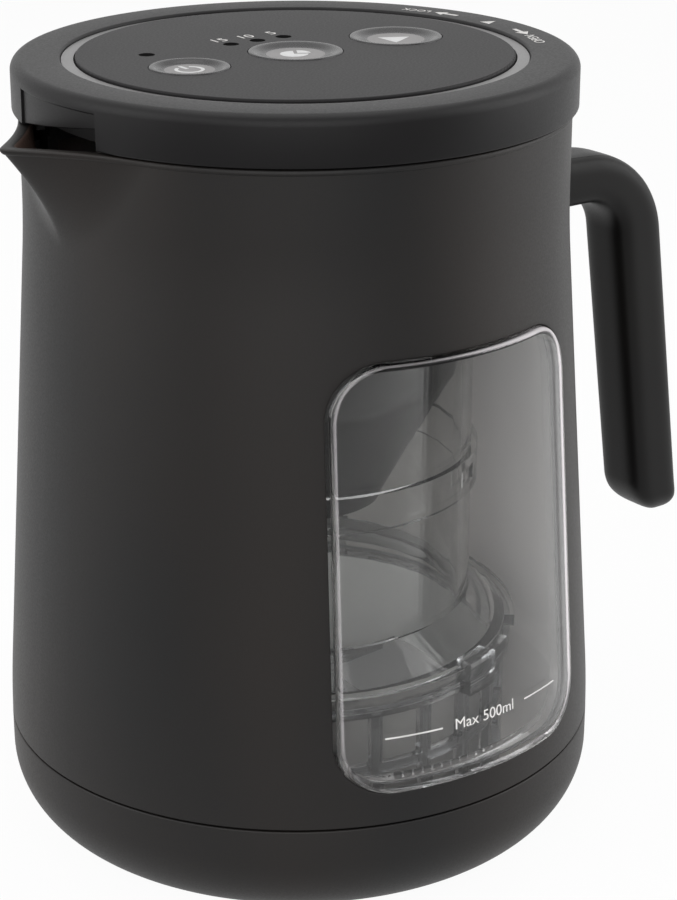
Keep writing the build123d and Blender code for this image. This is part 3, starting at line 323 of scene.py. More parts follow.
def outlineGap(a, v):  # how far (a, v) lies outside the hole's rounded rectangle; negative inside
    outA = np.abs(a) - windowHole["halfWidth"] + windowHole["corner"]
    outV = np.abs(v) - windowHole["halfHeight"] + windowHole["corner"]
    inside = np.minimum(np.maximum(outA, outV), 0)
    return np.hypot(np.maximum(outA, 0), np.maximum(outV, 0)) + inside - windowHole["corner"]


def holeOutline(a, v, offset):
    # walks from the hole's middle towards each point (a, v), and a little past it, to the rounded rectangle
    # grown by offset; halving finds the place
    low, high = np.zeros_like(a), np.full_like(a, 1.2)
    for _ in range(40):
        t = (low + high) / 2
        short = outlineGap(a * t, v * t) < offset
        low, high = np.where(short, t, low), np.where(short, high, t)
    return a * low, v * low


def holeScale(v):  # half the hole's width at this height, as a share of the even rectangle's
    share = v / windowHole["halfHeight"] / 2 + 0.5
    return (windowHole["lowHalf"]
            + (windowHole["highHalf"] - windowHole["lowHalf"]) * share) / windowHole["halfWidth"]


def onHole(a, v, depth):
    # (a, v) on an even rectangle, tapered with the hole and moved along Y to lie at depth in the wall
    z = windowHole["middle"] + v
    x = a * holeScale(v)
    return np.stack([x, -np.sqrt((wallRadius(z) - depth) ** 2 - x ** 2), z], -1)


def rolledEdge(a, v, side, edge, depth, count):
    # rings on a quarter round from the face at depth to the side; edge is its radius, negative where the
    # side faces out
    turns = np.linspace(0, np.pi / 2, count + 1)[1:]
    return [onHole(*holeOutline(a, v, side + edge * (1 - np.sin(turn))),
                   depth + abs(edge) * (1 - np.cos(turn))) for turn in turns]


def beadOut(z):  # how far the rim's bead stands out: a quarter ellipse up from its lower edge, then level
    rise = ramp(z, jug["beadLow"], jug["beadLow"] + jug["beadRound"])
    return jug["bead"] * np.sqrt(1 - (1 - rise) ** 2)


def jugRows():
    # the profile as rows (r, z, share of the way from outer to inner wall): tub, outer wall, lip, inner wall
    # and floor
    flat = jug["tubRadius"] - jug["tubRound"]
    under = jug["floor"] - jug["wall"]
    shoulder = under + jug["tubRound"]
    soft = jug["seamSoft"]
    tub = np.concatenate([[[0, under], [flat / 2, under]], arc(flat, shoulder, jug["tubRound"], -90, 0, 12),
                          [[jug["tubRadius"], jug["seam"] - soft], [jug["tubRadius"] + soft, jug["seam"]],
                           [jug["baseRadius"] - soft, jug["seam"]]]])
    footRows = np.linspace(jug["seam"] + soft, windowHole["frameLow"], 3)[:-1]
    frameRows = np.linspace(windowHole["frameLow"], windowHole["frameHigh"], windowHole["rows"] + 1)
    spoutRows = np.linspace(jug["rim"] - spout["drop"], jug["beadLow"] - jug["beadLead"], spout["rows"])
    beadRows = jug["beadLow"] + jug["beadRound"] * np.array(jug["beadShares"])
    wallZ = np.concatenate([footRows, frameRows, jug["neckRows"], spoutRows, beadRows,
                            [jug["rim"] - jug["lip"]]])
    turn = np.linspace(0, np.pi, 13)[1:-1]
    lipShare = (1 - np.sign(np.cos(turn)) * np.abs(np.cos(turn)) ** jug["lipPower"]) / 2
    lipZ = jug["rim"] - jug["lip"] + jug["lip"] * np.sin(turn) ** jug["lipPower"]
    lipR = wallRadius(lipZ) + jug["bead"] * (1 - lipShare) - jug["wall"] * lipShare
    backZ = np.append(wallZ[::-1], jug["seam"])
    floor = np.concatenate([arc(flat, shoulder, jug["tubRound"] - jug["wall"], 0, -90, 12),
                            [[flat / 2, jug["floor"]], [0, jug["floor"]]]])
    r = np.concatenate([tub[:, 0], wallRadius(wallZ) + beadOut(wallZ), lipR, insideRadius(backZ),
                        floor[:, 0]])
    z = np.concatenate([tub[:, 1], wallZ, lipZ, backZ, floor[:, 1]])
    inner = np.concatenate([np.zeros(len(tub) + len(wallZ)), lipShare, np.ones(len(backZ) + len(floor))])
    outerFirst = len(tub) + len(footRows)
    innerFirst = len(tub) + 2 * len(wallZ) + len(lipZ) - len(footRows) - len(frameRows)
    return r, z, inner, outerFirst, innerFirst


def spoutFlank(r, share, inner):
    # one side of the spout from tip to wall: an arc that leaves the wall on its tangent, at the angle half
    # from the middle, and meets the tip, which moves out as a power of the share of the spout's height
    tip = r + (spout["reach"] - spout["thin"] * inner) * share ** spout["curve"]
    half = np.radians(spout["half"]) * np.sqrt(np.maximum(share, spout["leastShare"]))
    s = 1 - np.linspace(0, 1, spout["columns"])[None] ** spout["crowding"]  # 1 at the tip, 0 at the wall
    chordX, chordY = r * np.cos(half) - tip, -r * np.sin(half)
    tangent = np.arctan2(-np.cos(half), -np.sin(half))
    bend = np.arctan2(chordY, chordX) - tangent
    bend = np.where(np.abs(bend) < 1e-5, 1e-5, bend)
    reach = np.hypot(chordX, chordY) * np.sin(s * bend) / np.sin(bend)
    x = -r * np.cos(half) + reach * np.cos(tangent + s * bend)
    y = r * np.sin(half) + reach * np.sin(tangent + s * bend)
    ridge = np.clip(1 / np.tan(tangent + 2 * bend), 0, spout["steepest"])  # slope at the tip, then rounded
    soft = spout["tipRound"] + (spout["tipRoundInside"] - spout["tipRound"]) * inner
    return x + ridge * (np.hypot(y, soft) - np.abs(y)), y, half


def jugSurface():
    # columns run round the wall from the spout's tip: flank, a stretch that evens out, back, window and side,
    # then such a stretch and the other flank
    r, z, inner, outerFirst, innerFirst = jugRows()
    r, z, inner = r[:, None], z[:, None], inner[:, None]
    flankX, flankY, half = spoutFlank(r, ramp(z, jug["rim"] - spout["drop"], jug["rim"]), inner)
    middle = np.linspace(0, 1, spout["blendColumns"])[None, 1:-1]
    blend = np.radians(spout["blendEnd"]) * middle + (np.pi - half) * (1 - middle)
    near, far = -90 + windowHole["frameHalf"], -90 - windowHole["frameHalf"]
    fixed = np.concatenate([np.linspace(spout["blendEnd"], near, jug["backColumns"]),
                            np.linspace(near, far, windowHole["columns"] + 1)[1:],
                            np.linspace(far, -spout["blendEnd"], jug["sideColumns"])[1:]])
    fixed = np.radians(np.broadcast_to(fixed, (len(r), len(fixed))))
    turns = np.concatenate([blend, fixed, -blend[:, ::-1]], 1)
    x = np.concatenate([flankX, r * np.cos(turns), flankX[:, :0:-1]], 1)
    y = np.concatenate([flankY, r * np.sin(turns), -flankY[:, :0:-1]], 1)
    points = np.stack([x, y, np.broadcast_to(z, x.shape)], -1)
    frameFirst = flankX.shape[1] + blend.shape[1] + jug["backColumns"] - 1
    faces = gridFaces(*x.shape)
    keep = np.ones(faces.shape[:2], bool)
    for first in (outerFirst, innerFirst):
        keep[first:first + windowHole["rows"], frameFirst:frameFirst + windowHole["columns"]] = False
    inside = np.broadcast_to((inner[:-1] + inner[1:]) / 2 > 0.9, keep.shape)
    return points, faces[keep], inside[keep], (outerFirst, innerFirst, frameFirst)


def frameLoop(rowFirst, rowStep, columnFirst, columns):
    # grid indices once round the frame, from its bottom corner
    c = columnFirst + np.arange(windowHole["columns"] + 1)
    w = (rowFirst + rowStep * np.arange(windowHole["rows"] + 1)) * columns
    return np.concatenate([w[0] + c[:-1], w[:-1] + c[-1], w[-1] + c[:0:-1], w[:0:-1] + c[0]])


def buildJug():
    # the wall's grid, and rings that lead from its outer frame to the window's rolled edge, through the hole
    # and back along the inner wall to the inner frame
    points, faces, inside, (outerFirst, innerFirst, frameFirst) = jugSurface()
    columns = points.shape[1]
    flat = points.reshape(-1, 3)
    outer = frameLoop(outerFirst, 1, frameFirst, columns)
    back = frameLoop(innerFirst + windowHole["rows"], -1, frameFirst, columns)
    v = flat[outer, 2] - windowHole["middle"]
    a = flat[outer, 0] / holeScale(v)
    edgeA, edgeV = holeOutline(a, v, windowHole["edgeRound"])
    steps = np.linspace(0, 1, windowHole["patchRows"])[1:]
    rings = [onHole(a + (edgeA - a) * t, v + (edgeV - v) * t, 0) for t in steps]
    rings += rolledEdge(a, v, 0, windowHole["edgeRound"], 0, 4)
    cut = holeOutline(a, v, 0)
    rings += [onHole(*cut, depth) for depth in (jug["wall"] - windowHole["backStep"], jug["wall"])]
    outsideRings = len(rings)
    last = rings[-1]
    lastTurn, backTurn = (np.arctan2(ring[:, 1], ring[:, 0]) for ring in (last, flat[back]))
    for t in steps[:-1]:
        z = last[:, 2] + (flat[back, 2] - last[:, 2]) * t
        angle = lastTurn + (backTurn - lastTurn) * t
        rings.append(np.stack([insideRadius(z) * np.cos(angle), insideRadius(z) * np.sin(angle), z], -1))
    count = len(outer)
    index = np.concatenate([outer[None], len(flat) + np.arange(len(rings) * count).reshape(-1, count),
                            back[None]])
    patch = np.stack([index[:-1], np.roll(index[:-1], -1, 1), np.roll(index[1:], -1, 1), index[1:]], -1)
    patchInside = np.repeat(np.arange(len(patch)) >= outsideRings, count)
    # the inner faces take the inside colour, pale grey painted light
    addPiece("jugBody", np.concatenate([flat, *rings]), np.concatenate([faces, patch.reshape(-1, 4)]), "jug",
             "jug_plastic", jugPolypropylene, "jug_body", second=jugInsidePaintedLight,
             secondFaces=np.concatenate([inside, patchInside]))


buildJug()

# Rails: three short ribs inside the neck that the lid's lugs slide under
rails = {"inner": 57.0, "outer": 58.6, "low": 164.6, "high": 166.6, "middles": (6, 126, 246), "half": 10}
for i, middle in enumerate(rails["middles"]):
    rail = ringBlock(boxProfile(rails), middle - rails["half"], middle + rails["half"], 13)
    addGrid("bayonetRail%d" % (i + 1), rail, "jug", "jug_plastic", jugPolypropylene)
print("jug built")

# Window: a clear plate that stands proud in the hole, with a rolled front edge and a flange behind the wall
pane = {"proud": 1.2, "thickness": 2.4, "edgeRound": 0.9, "gap": 0.15, "flange": 2.4, "flangeFront": 3.4,
        "flangeBack": 5.6, "rim": 2.0, "guideHalves": (39, 52),
        "columns": 240, "frontRows": 34, "backRows": 26}
# The painted highlight along its edge: how far in it lies, its half width and its level, at the left and as
# they change to the right, at the top and at the bottom; each span is where such a change comes in
paintedEdgeHighlight = {"inset": 1.0, "insetRight": 1.0, "insetTop": -0.45,
            "half": 0.25, "halfRight": 0.4, "halfLoss": 0.4,
            "level": 0.25, "levelRight": 0.6, "topLoss": 0.3, "lowLoss": 0.75, "rightSpan": (-12, 18),
            "topSpan": (-9, -2), "lowSpan": (-14, -2), "frontDepth": 0.4}


def buildPane():
    # rings round the hole's middle: front plate, rolled edge, side, flange, rim step and back plate
    turn = np.linspace(0, 2 * np.pi, pane["columns"], endpoint=False)
    a, v = pane["guideHalves"][0] * np.cos(turn), pane["guideHalves"][1] * np.sin(turn)
    front, edge = -pane["proud"], pane["edgeRound"]
    backDepth = front + pane["thickness"]
    plateA, plateV = holeOutline(a, v, -pane["gap"] - edge)
    side, out = holeOutline(a, v, -pane["gap"]), holeOutline(a, v, pane["flange"])
    rimA, rimV = holeOutline(a, v, -pane["rim"])
    rings = [onHole(plateA * t, plateV * t, front) for t in 1 - np.linspace(1, 0, pane["frontRows"]) ** 2]
    rings += rolledEdge(a, v, -pane["gap"], -edge, front, 6)
    rings += [onHole(*side, pane["flangeFront"]), onHole(*out, pane["flangeFront"]),
              onHole(*out, pane["flangeBack"]), onHole(rimA, rimV, pane["flangeBack"])]
    rings += [onHole(rimA * t, rimV * t, backDepth) for t in np.linspace(1, 0, pane["backRows"])]
    return addGrid("windowPane", np.array(rings), "jug", "clear_plastic", windowCopolyester, "window_panel",
                   sharp=40)


def paintEdgeHighlight(piece):
    # a painted highlight as a band beside the outline: at the left it lies on the rolled edge, at the right
    # further in, and it fades below
    glow = paintedEdgeHighlight
    x, y, z = meshValues(piece.data.vertices, "co").T / mm
    v = z - windowHole["middle"]
    right = ramp(x, *glow["rightSpan"])
    above = ramp(v - windowHole["halfHeight"], *glow["topSpan"])
    below = ramp(-v - windowHole["halfHeight"], *glow["lowSpan"])
    inset = glow["inset"] + glow["insetRight"] * right * (1 - above) + glow["insetTop"] * above
    half = ((glow["half"] + glow["halfRight"] * right)
            * (1 - glow["halfLoss"] * above) * (1 - glow["halfLoss"] * below))
    level = ((glow["level"] + glow["levelRight"] * right)
             * (1 - glow["topLoss"] * above) * (1 - glow["lowLoss"] * below))
    front = np.hypot(x, y) > wallRadius(z) - glow["frontDepth"]
    band = level * np.exp(-((outlineGap(x / holeScale(v), v) + inset) / half) ** 4) * front
    piece.data.attributes.new("edgeHighlightShare", "FLOAT", "POINT").data.foreach_set(
        "value", band.astype(np.float32))


paintEdgeHighlight(buildPane())
print("window built")

# Foot: the shell under the seam
foot = {"radius": 68.55, "round": 18.0, "low": 0.8, "high": 26.2, "wall": 2.4, "floor": 3.8,
        "padRadius": 48.0, "padDepth": 2.0, "padEdge": 0.3, "seamRound": 0.35,
        "innerSweep": 75, "innerStep": 4.0}


def buildFoot():
    # profile from the pad's recess out over the big round to the seam, and back inside
    flat, centreZ = foot["radius"] - foot["round"], foot["low"] + foot["round"]
    pad, edge, seam = foot["padRadius"], foot["padEdge"], foot["seamRound"]
    innerTop = foot["low"] + foot["floor"]
    profile = np.concatenate([[[0, foot["padDepth"]], [pad, foot["padDepth"]], [pad, foot["low"] + edge]],
                              [[pad + edge, foot["low"]]], arc(flat, centreZ, foot["round"], -90, 0, 28),
                              arc(foot["radius"] - seam, foot["high"] - seam, seam, 0, 90, 5),
                              [[foot["radius"] - foot["wall"], foot["high"]]],
                              arc(flat, centreZ, foot["round"] - foot["wall"], 0, -foot["innerSweep"], 16),
                              [[flat - foot["innerStep"], innerTop], [0, innerTop]]])
    addGrid("footShell", revolve(profile, fullTurn), "jug", "jug_plastic", jugPolypropylene, "base_cover")


buildFoot()

# Lid ring: skirt, rolled edge, deck and groove, with a notch over the spout
lid = {"radius": 62.0, "low": 170.3, "top": 181.0, "edgeRound": 2.4, "wall": 2.2, "deck": 2.6,
       "skirtRound": 0.4, "innerRound": 0.3,
       "groove": 51.1, "grooveFloor": 179.0, "grooveRound": 0.7, "grooveFillet": 0.3, "seat": 48.2,
       "ledgeIn": 44.5, "ledgeOut": 53.0, "ledgeLow": 176.2,
       "notchHalf": 14.0, "notchTop": 177.8, "notchDraft": 0.2, "notchReach": 0.6, "notchSlack": 0.1}


def buildLidRing():
    # closed profile carried round; inside the notch the skirt's lower edge is lifted to the notch's top
    top, low, radius, floor = lid["top"], lid["low"], lid["radius"], lid["grooveFloor"]
    deckLow, inner = top - lid["deck"], radius - lid["wall"]
    edge, lip, hem = lid["edgeRound"], lid["skirtRound"], lid["innerRound"]
    crest, fillet = lid["grooveRound"], lid["grooveFillet"]
    profile = np.concatenate([arc(radius - lip, low + lip, lip, -90, 0, 5),
                              arc(radius - edge, top - edge, edge, 0, 90, 12),
                              arc(lid["groove"] + crest, top - crest, crest, 90, 180, 7),
                              arc(lid["groove"] - fillet, floor + fillet, fillet, 0, -90, 4),
                              [[lid["seat"], floor], [lid["seat"], deckLow], [lid["ledgeIn"], deckLow],
                               [lid["ledgeIn"], lid["ledgeLow"]], [lid["ledgeOut"], lid["ledgeLow"]],
                               [lid["ledgeOut"], deckLow], [inner, deckLow]],
                              arc(inner + hem, low + hem, hem, 180, 270, 4), [[radius - lip, low]]])
    notch = np.array([lid["notchHalf"], lid["notchHalf"] - lid["notchDraft"]])
    turns = np.sort(np.concatenate([turnSteps, 180 + notch, 180 - notch]))
    points = revolve(profile, np.radians(turns))
    inNotch = np.abs(turns - 180) < lid["notchHalf"] - lid["notchDraft"] / 2
    skirt = np.hypot(points[..., 0], points[..., 1]) > inner - lid["notchSlack"]
    lower = inNotch[None] & skirt & (points[..., 2] < low + lid["notchReach"])
    points[..., 2] += np.where(lower, lid["notchTop"] - low, 0.0)
    addGrid("lidRing", points, "lid", "lid_plastic", lidAbs, "lid_ring")


buildLidRing()

# Groove band: a lacquered ring that fills most of the groove
band = {"inner": 48.3, "outer": 50.95, "low": 179.02, "high": 180.3}
bandProfile = boxProfile(band)
addGrid("grooveBand", revolve(bandProfile + bandProfile[:1], fullTurn), "lid", "lid_plastic", grooveLacquer)

# Screen: a short curved wall just inside the notch, over the way out to the spout, with a slanting lower edge
screen = {"outer": 61.5, "inner": 59.9, "farLow": 170.6, "nearLow": 174.8, "high": 178.3, "halfTurn": 13.75,
          "edge": 0.3, "slantReach": 1.0}


def buildNotchScreen():
    # rounded profile carried through the notch's turn, its lower edge rising evenly from the far end to the
    # near end
    edge, low, halfTurn = screen["edge"], screen["farLow"], screen["halfTurn"]
    profile = np.concatenate([arc(screen["inner"] + edge, low + edge, edge, 180, 270, 4),
                              arc(screen["outer"] - edge, low + edge, edge, -90, 0, 4),
                              [[screen["outer"], screen["high"]], [screen["inner"], screen["high"]]]])
    points = ringBlock(profile, 180 - halfTurn, 180 + halfTurn, 25)
    share = ramp(np.degrees(np.arctan2(-points[..., 1], -points[..., 0])), -halfTurn, halfTurn)
    lower = points[..., 2] < low + screen["slantReach"]
    points[..., 2] += np.where(lower, (screen["nearLow"] - low) * share, 0.0)
    addGrid("notchScreen", points, "lid", "lid_plastic", lidAbs)


buildNotchScreen()
print("foot and lid ring built")

# Keys: dished caps with a pale flat middle and a sloping rim painted dark as shade; each has its place along
# X and its radius
keys = {"power_button": (-27.6, 8.7), "timer_button": (0.0, 10.4), "start_button": (27.6, 10.4)}
keyCap = {"top": 181.2, "dish": 0.8, "rim": 0.7, "roll": 0.35, "flatShare": 0.62, "middleShare": 0.6,
          "low": 177.3, "flange": 1.0, "flangeTop": 178.3}


def buildKey(node, x, radius):
    # profile: flat middle, an S-shaped slope up to the rim, a small roll, the side and the hidden flange
    top, roll, flange = keyCap["top"], keyCap["roll"], radius + keyCap["flange"]
    flat = radius * keyCap["flatShare"]
    rise = np.linspace(0, 1, 14)
    slope = np.stack([flat + (radius - keyCap["rim"] - flat) * rise,
                      top - keyCap["dish"] * (1 - rise ** 2 * (3 - 2 * rise))], -1)
    middle = [[0, slope[0, 1]], [flat * keyCap["middleShare"], slope[0, 1]]]
    profile = np.concatenate([middle, slope, arc(radius - roll, top - roll, roll, 90, 0, 6),
                              [[radius, keyCap["flangeTop"]], [flange, keyCap["flangeTop"]],
                               [flange, keyCap["low"]], [0, keyCap["low"]]]])
    turns = np.radians(np.arange(0, 360, 3.0))
    sloping = np.repeat(np.arange(len(profile) - 1) >= len(middle), len(turns))
    addGrid(node.replace("_button", "Key"), revolve(profile, turns) + [x, 0, 0], node, "button_plastic",
            buttonSilicone, node, second=keyRimPaintedShade, secondFaces=sloping)


for node, (x, radius) in keys.items():
    buildKey(node, x, radius)
print("keys built")

# Handle: an open grip bent once, with a strip let into its back; corners and ends are (x, z)
handle = {"halfWidth": 7.75, "power": 4.2, "root": 61.5, "rootInside": 59.6, "seatGap": 0.02, "low": 47.0,
          "outerTop": 147.4, "outerCorner": (104.2, 145.7), "outerEnd": (118.04, 47.0), "outerBend": 25.0,
          "innerTop": 134.4, "innerCorner": (91.05, 134.4), "innerEnd": (103.41, 47.0), "innerBend": 10.0,
          "endSide": 6.0, "endInner": 10.0, "endOuter": 4.6, "endClear": 0.5, "endRows": 22,
          "pathRows": (12, 26, 40),
          "stripHalf": 5.2, "stripGap": 0.15, "stripThick": 1.5, "stripEnd": 60.0, "stripEdge": 0.2}


def bentLine(start, corner, end, bend, counts):
    # straight run, an arc of radius bend tangent to both runs, straight run
    start, corner, end = (np.array(p, float) for p in (start, corner, end))
    u, v = corner - start, end - corner
    u, v = u / np.hypot(*u), v / np.hypot(*v)
    swing = np.arccos(u @ v)
    first, second = corner - u * bend * np.tan(swing / 2), corner + v * bend * np.tan(swing / 2)
    normal = v - u * (u @ v)
    normal /= np.hypot(*normal)
    turn = np.linspace(0, swing, counts[1])[:, None]
    bow = first + normal * bend + bend * (u * np.sin(turn) - normal * np.cos(turn))
    lead = start + (first - start) * np.linspace(0, 1, counts[0])[:-1, None]
    tail = second + (end - second) * np.linspace(0, 1, counts[2])[1:, None]
    return np.concatenate([lead, bow, tail])


def handlePath():  # paired points on the outer and inner lines, in X and Z
    return [bentLine((handle["root"], handle[side + "Top"]), handle[side + "Corner"], handle[side + "End"],
                     handle[side + "Bend"], handle["pathRows"]) for side in ("outer", "inner")]


def pathSections(outer, inner):
    # each section's middle, half its depth, and its direction towards the outer line
    half = np.hypot(*(outer - inner).T)[:, None] / 2
    return (outer + inner) / 2, half, (outer - inner) / (2 * half)


def crown(p, halfWidth, halfDeep):  # height of the back across the width, on a superellipse
    return halfDeep * (1 - np.minimum(np.abs(p) / halfWidth, 1) ** handle["power"]) ** (1 / handle["power"])


def placeSections(p, q, middle, across):
    # sections (p along Y, q towards the outer line) put on the path, the first ring laid on the jug's wall
    points = np.stack([middle[:, :1] + q * across[:, :1], p, middle[:, 1:] + q * across[:, 1:]], -1)
    points[0, :, 0] = np.sqrt((wallRadius(points[0, :, 2]) + handle["seatGap"]) ** 2 - points[0, :, 1] ** 2)
    return points


def cornerInset(rise, radius):  # how far a rounded corner draws in at a height above the end
    return radius - np.sqrt(np.maximum(radius ** 2 - np.maximum(radius - rise, 0) ** 2, 0))


def endRows(line, keep, rise):  # the kept points of a line, then points at the given heights above its end
    step = line[-2] - line[-1]
    return np.concatenate([line[keep], line[-1] + step / step[1] * rise])


def buildGrip():
    # superellipse sections between the outer and inner lines, drawn in at the end, with the strip's seat in
    # the back
    outer, inner = handlePath()
    power = handle["power"]
    keep = (outer[:, 1] + inner[:, 1]) / 2 > handle["low"] + handle["endInner"] + handle["endClear"]
    endRise = handle["endInner"] * (1 - np.sin(np.radians(np.linspace(0, 90, handle["endRows"]))))[:, None]
    middle, half, across = pathSections(endRows(outer, keep, endRise), endRows(inner, keep, endRise))
    rise = middle[:, 1:] - handle["low"]
    drawIn, drawOut = cornerInset(rise, handle["endInner"]), cornerInset(rise, handle["endOuter"])
    middle = middle + across * (drawIn - drawOut) / 2
    halfDeep = half - (drawIn + drawOut) / 2
    halfWide = handle["halfWidth"] - cornerInset(rise, handle["endSide"])
    slot = (handle["stripHalf"] + handle["stripGap"]) * halfWide / handle["halfWidth"]
    hasSeat = middle[:, 1:] > handle["stripEnd"] - handle["stripGap"]
    seat = np.linspace(-1, 1, 15)[None] * slot
    seatQ = crown(seat, halfWide, halfDeep) - np.where(hasSeat, handle["stripThick"] + handle["stripGap"],
                                                       0.0)
    lean = np.arctan2(crown(slot, halfWide, halfDeep), slot)
    turn = lean - (np.pi + 2 * lean) * np.linspace(0, 1, 65)[None]
    reach = (np.abs(np.cos(turn) / halfWide) ** power
             + np.abs(np.sin(turn) / halfDeep) ** power) ** (-1 / power)
    p = np.concatenate([seat, reach * np.cos(turn)], 1)
    q = np.concatenate([seatQ, reach * np.sin(turn)], 1)
    points = closeEnds(placeSections(p, q, middle, across))
    points[0] = handle["rootInside"], 0, middle[0, 1]               # the root is closed inside the jug's wall
    addGrid("handleGrip", points, "jug", "handle_plastic", handlePolypropylene, "handle_grip", sharp=40)


def buildStrip():
    # the strip follows the grip's back, with softened long edges
    middle, half, across = pathSections(*handlePath())
    keep = middle[:, 1] > handle["stripEnd"]
    middle, half, across = middle[keep], half[keep], across[keep]
    edge, thick = handle["stripEdge"], handle["stripThick"]
    span = np.linspace(-1, 1, 17)[None] * (handle["stripHalf"] - edge) + np.zeros_like(half)
    side = np.full_like(half, handle["stripHalf"])
    topQ, sideQ = crown(span, handle["halfWidth"], half), crown(side, handle["halfWidth"], half)
    p = np.concatenate([span, side, side, span[:, ::-1], -side, -side], 1)
    q = np.concatenate([topQ, sideQ - edge, sideQ - thick,
                        topQ[:, ::-1] - thick, sideQ - thick, sideQ - edge], 1)
    addGrid("handleStrip", closeEnds(placeSections(p, q, middle, across)), "jug", "handle_plastic",
            handlePolypropylene, "handle_cover", sharp=40)


buildGrip()
buildStrip()
print("handle built")


def smoothCopy(node, name, body, material, reshape=None):
    # the solid's own surface with its triangles joined, so that curves shade smoothly
    mesh = nodes[node].data.copy()
    mesh.name = name
    mesh.materials.clear()
    mesh.materials.append(material)
    custom = mesh.attributes.get("custom_normal")
    if custom:
        mesh.attributes.remove(custom)
    mergeDoubles(mesh, 1e-6, outwards=False)
    if reshape:
        reshape(mesh)
    piece = finishPiece(name, mesh, body, [node], sharp=30)
    piece.modifiers.new("evenShading", "WEIGHTED_NORMAL").keep_sharp = True


# Housing: its cone runs on further up than the solid's, as seen through the window; for the outer and the
# inner wall, the cone's foot, its old corner and its new corner (r, z), and how near the cone a point
# has to lie
taperWalls = (((19.0, 79.0), (37.2, 106.0), (36.6, 112.0)), ((18.4, 82.0), (35.0, 106.67), (34.4, 112.7)))
taperSlack = 0.3


def taperHousing(mesh):
    # each point of a cone keeps its share of the way from foot to corner, with the corner moved
    place = meshValues(mesh.vertices, "co") / mm
    reach, height = np.hypot(place[:, 0], place[:, 1]), place[:, 2].copy()
    for (footR, footZ), (oldR, oldZ), (newR, newZ) in taperWalls:
        share = (height - footZ) / (oldZ - footZ)
        near = np.abs(reach - footR - (oldR - footR) * share) < taperSlack
        cone = near & (share > 0.001) & (share < 1.002)             # above the foot, up to the corner
        place[cone, :2] *= ((footR + (newR - footR) * share) / reach)[cone, None]
        place[cone, 2] = (footZ + (newZ - footZ) * share)[cone]
    mesh.vertices.foreach_set("co", (place * mm).ravel())


def paintInsideLit(mesh):  # faces that look at the axis, or up, take the bright copy as painted light
    centre, normal = meshValues(mesh.polygons, "center"), meshValues(mesh.polygons, "normal")
    inward = ((centre * normal)[:, :2].sum(1) < 0) | (normal[:, 2] > 0.5)
    mesh.materials.append(stainlessPaintedLit)
    mesh.polygons.foreach_set("material_index", inward.astype(np.int32))


smoothCopy("control_panel", "controlPanel", "lid", panelAbs)
smoothCopy("lid_tray", "lidTray", "lid", lidAbs)
smoothCopy("motor_housing", "motorHousing", "lid", housingPolypropylene, reshape=taperHousing)
smoothCopy("brew_cylinder", "brewColumn", "brew_column", columnCopolyester)
smoothCopy("filter_basket", "filterBasket", "filter_basket", basketPolycarbonate)
smoothCopy("filter_mesh", "filterMesh", "filter_basket", etchedStainless, reshape=paintInsideLit)
smoothCopy("stirrer", "stirrerHub", "rotor", stirrerAcetal)
# Many clear walls in a row would stop the lamps' light, so the clear pieces cast no shadow
for name in ("windowPane", "brewColumn", "filterBasket"):
    bpy.data.objects[name].visible_shadow = False

# Finishes of the solids that stay as they are
finishes = {blackSilicone: ["window_seal", "base_pad", "handle_plug", "lid_seal", "housing_gasket",
                            "shaft_seal", "charging_flap"],
            paleSilicone: ["basket_seal"], lensAcrylic: ["indicator_lenses"],
            boardLaminate: ["control_board"],
            screwSteel: ["base_screws", "handle_screw", "board_screws", "lid_screws", "housing_screws",
                         "motor_screws"],
            lidAbs: ["motor_mount", "battery_bracket"], switchNylon: ["tact_switches", "indicator_leds"],
            cellSleeve: ["battery_cell"], turnedBrass: ["shaft_bush", "shaft_coupler"],
            platedSteel: ["charging_socket", "motor_can", "motor_shaft", "drive_shaft", "stirrer_nut"]}
for material, names in finishes.items():
    for name in names:
        nodes[name].data.materials.clear()
        nodes[name].data.materials.append(material)
print("inner pieces dressed")

# Printed marks: minutes over the lamps, key signs, twist marks on the rim, and the fill line on the window
marks = {"half": 0.02, "panelTop": 181.03, "keyFace": 180.43, "ringTop": 181.03, "rimRadius": 55.0,
         "paneGap": 0.03}
minutes = {"size": 4.3, "y": 19.4, "words": (("15", -7.1), ("10", 0.0), ("5", 7.1))}
fill = {"words": "Max 500ml", "size": 3.6, "degrees": 13.6, "shift": 0.5, "height": 47.3, "lineHalf": 0.18,
        "lines": ((-20.2, -9.0), (10.4, 20.0))}


def flatText(words, size):  # lettering as a thin closed mesh, centred, lying in X and Y
    curve = bpy.data.curves.new("lettering", "FONT")
    curve.body, curve.size, curve.extrude = words, size, marks["half"]
    curve.align_x, curve.align_y = "CENTER", "CENTER"
    holder = bpy.data.objects.new("lettering", curve)
    bpy.context.scene.collection.objects.link(holder)
    mesh = bpy.data.meshes.new_from_object(holder.evaluated_get(bpy.context.evaluated_depsgraph_get()))
    points = meshValues(mesh.vertices, "co").astype(float)
    faces = [list(face.vertices) for face in mesh.polygons]
    bpy.data.objects.remove(holder)
    bpy.data.meshes.remove(mesh)
    return points, faces


def slab(outline):  # a flat closed outline as a thin plate
    outline = np.asarray(outline, float)
    count = len(outline)
    points = np.concatenate([np.column_stack([outline, np.full(count, h)])
                             for h in (-marks["half"], marks["half"])])
    ring = np.arange(count)
    sides = np.stack([ring, (ring + 1) % count, (ring + 1) % count + count, ring + count], -1)
    return points, [list(ring[::-1]), list(ring + count), *sides.tolist()]


def ringSlab(inner, outer, start, end, count=40):  # part of a flat ring, from start to end degrees
    turn = np.radians(np.linspace(start, end, count))
    circle = np.stack([np.cos(turn), np.sin(turn)], -1)
    return slab(np.concatenate([circle * outer, circle[::-1] * inner]))


def joinMarks(parts):  # several marks as one mesh
    first = np.cumsum([0] + [len(points) for points, _ in parts])
    faces = [[i + f for i in face] for (_, faces), f in zip(parts, first) for face in faces]
    return np.concatenate([points for points, _ in parts]), faces


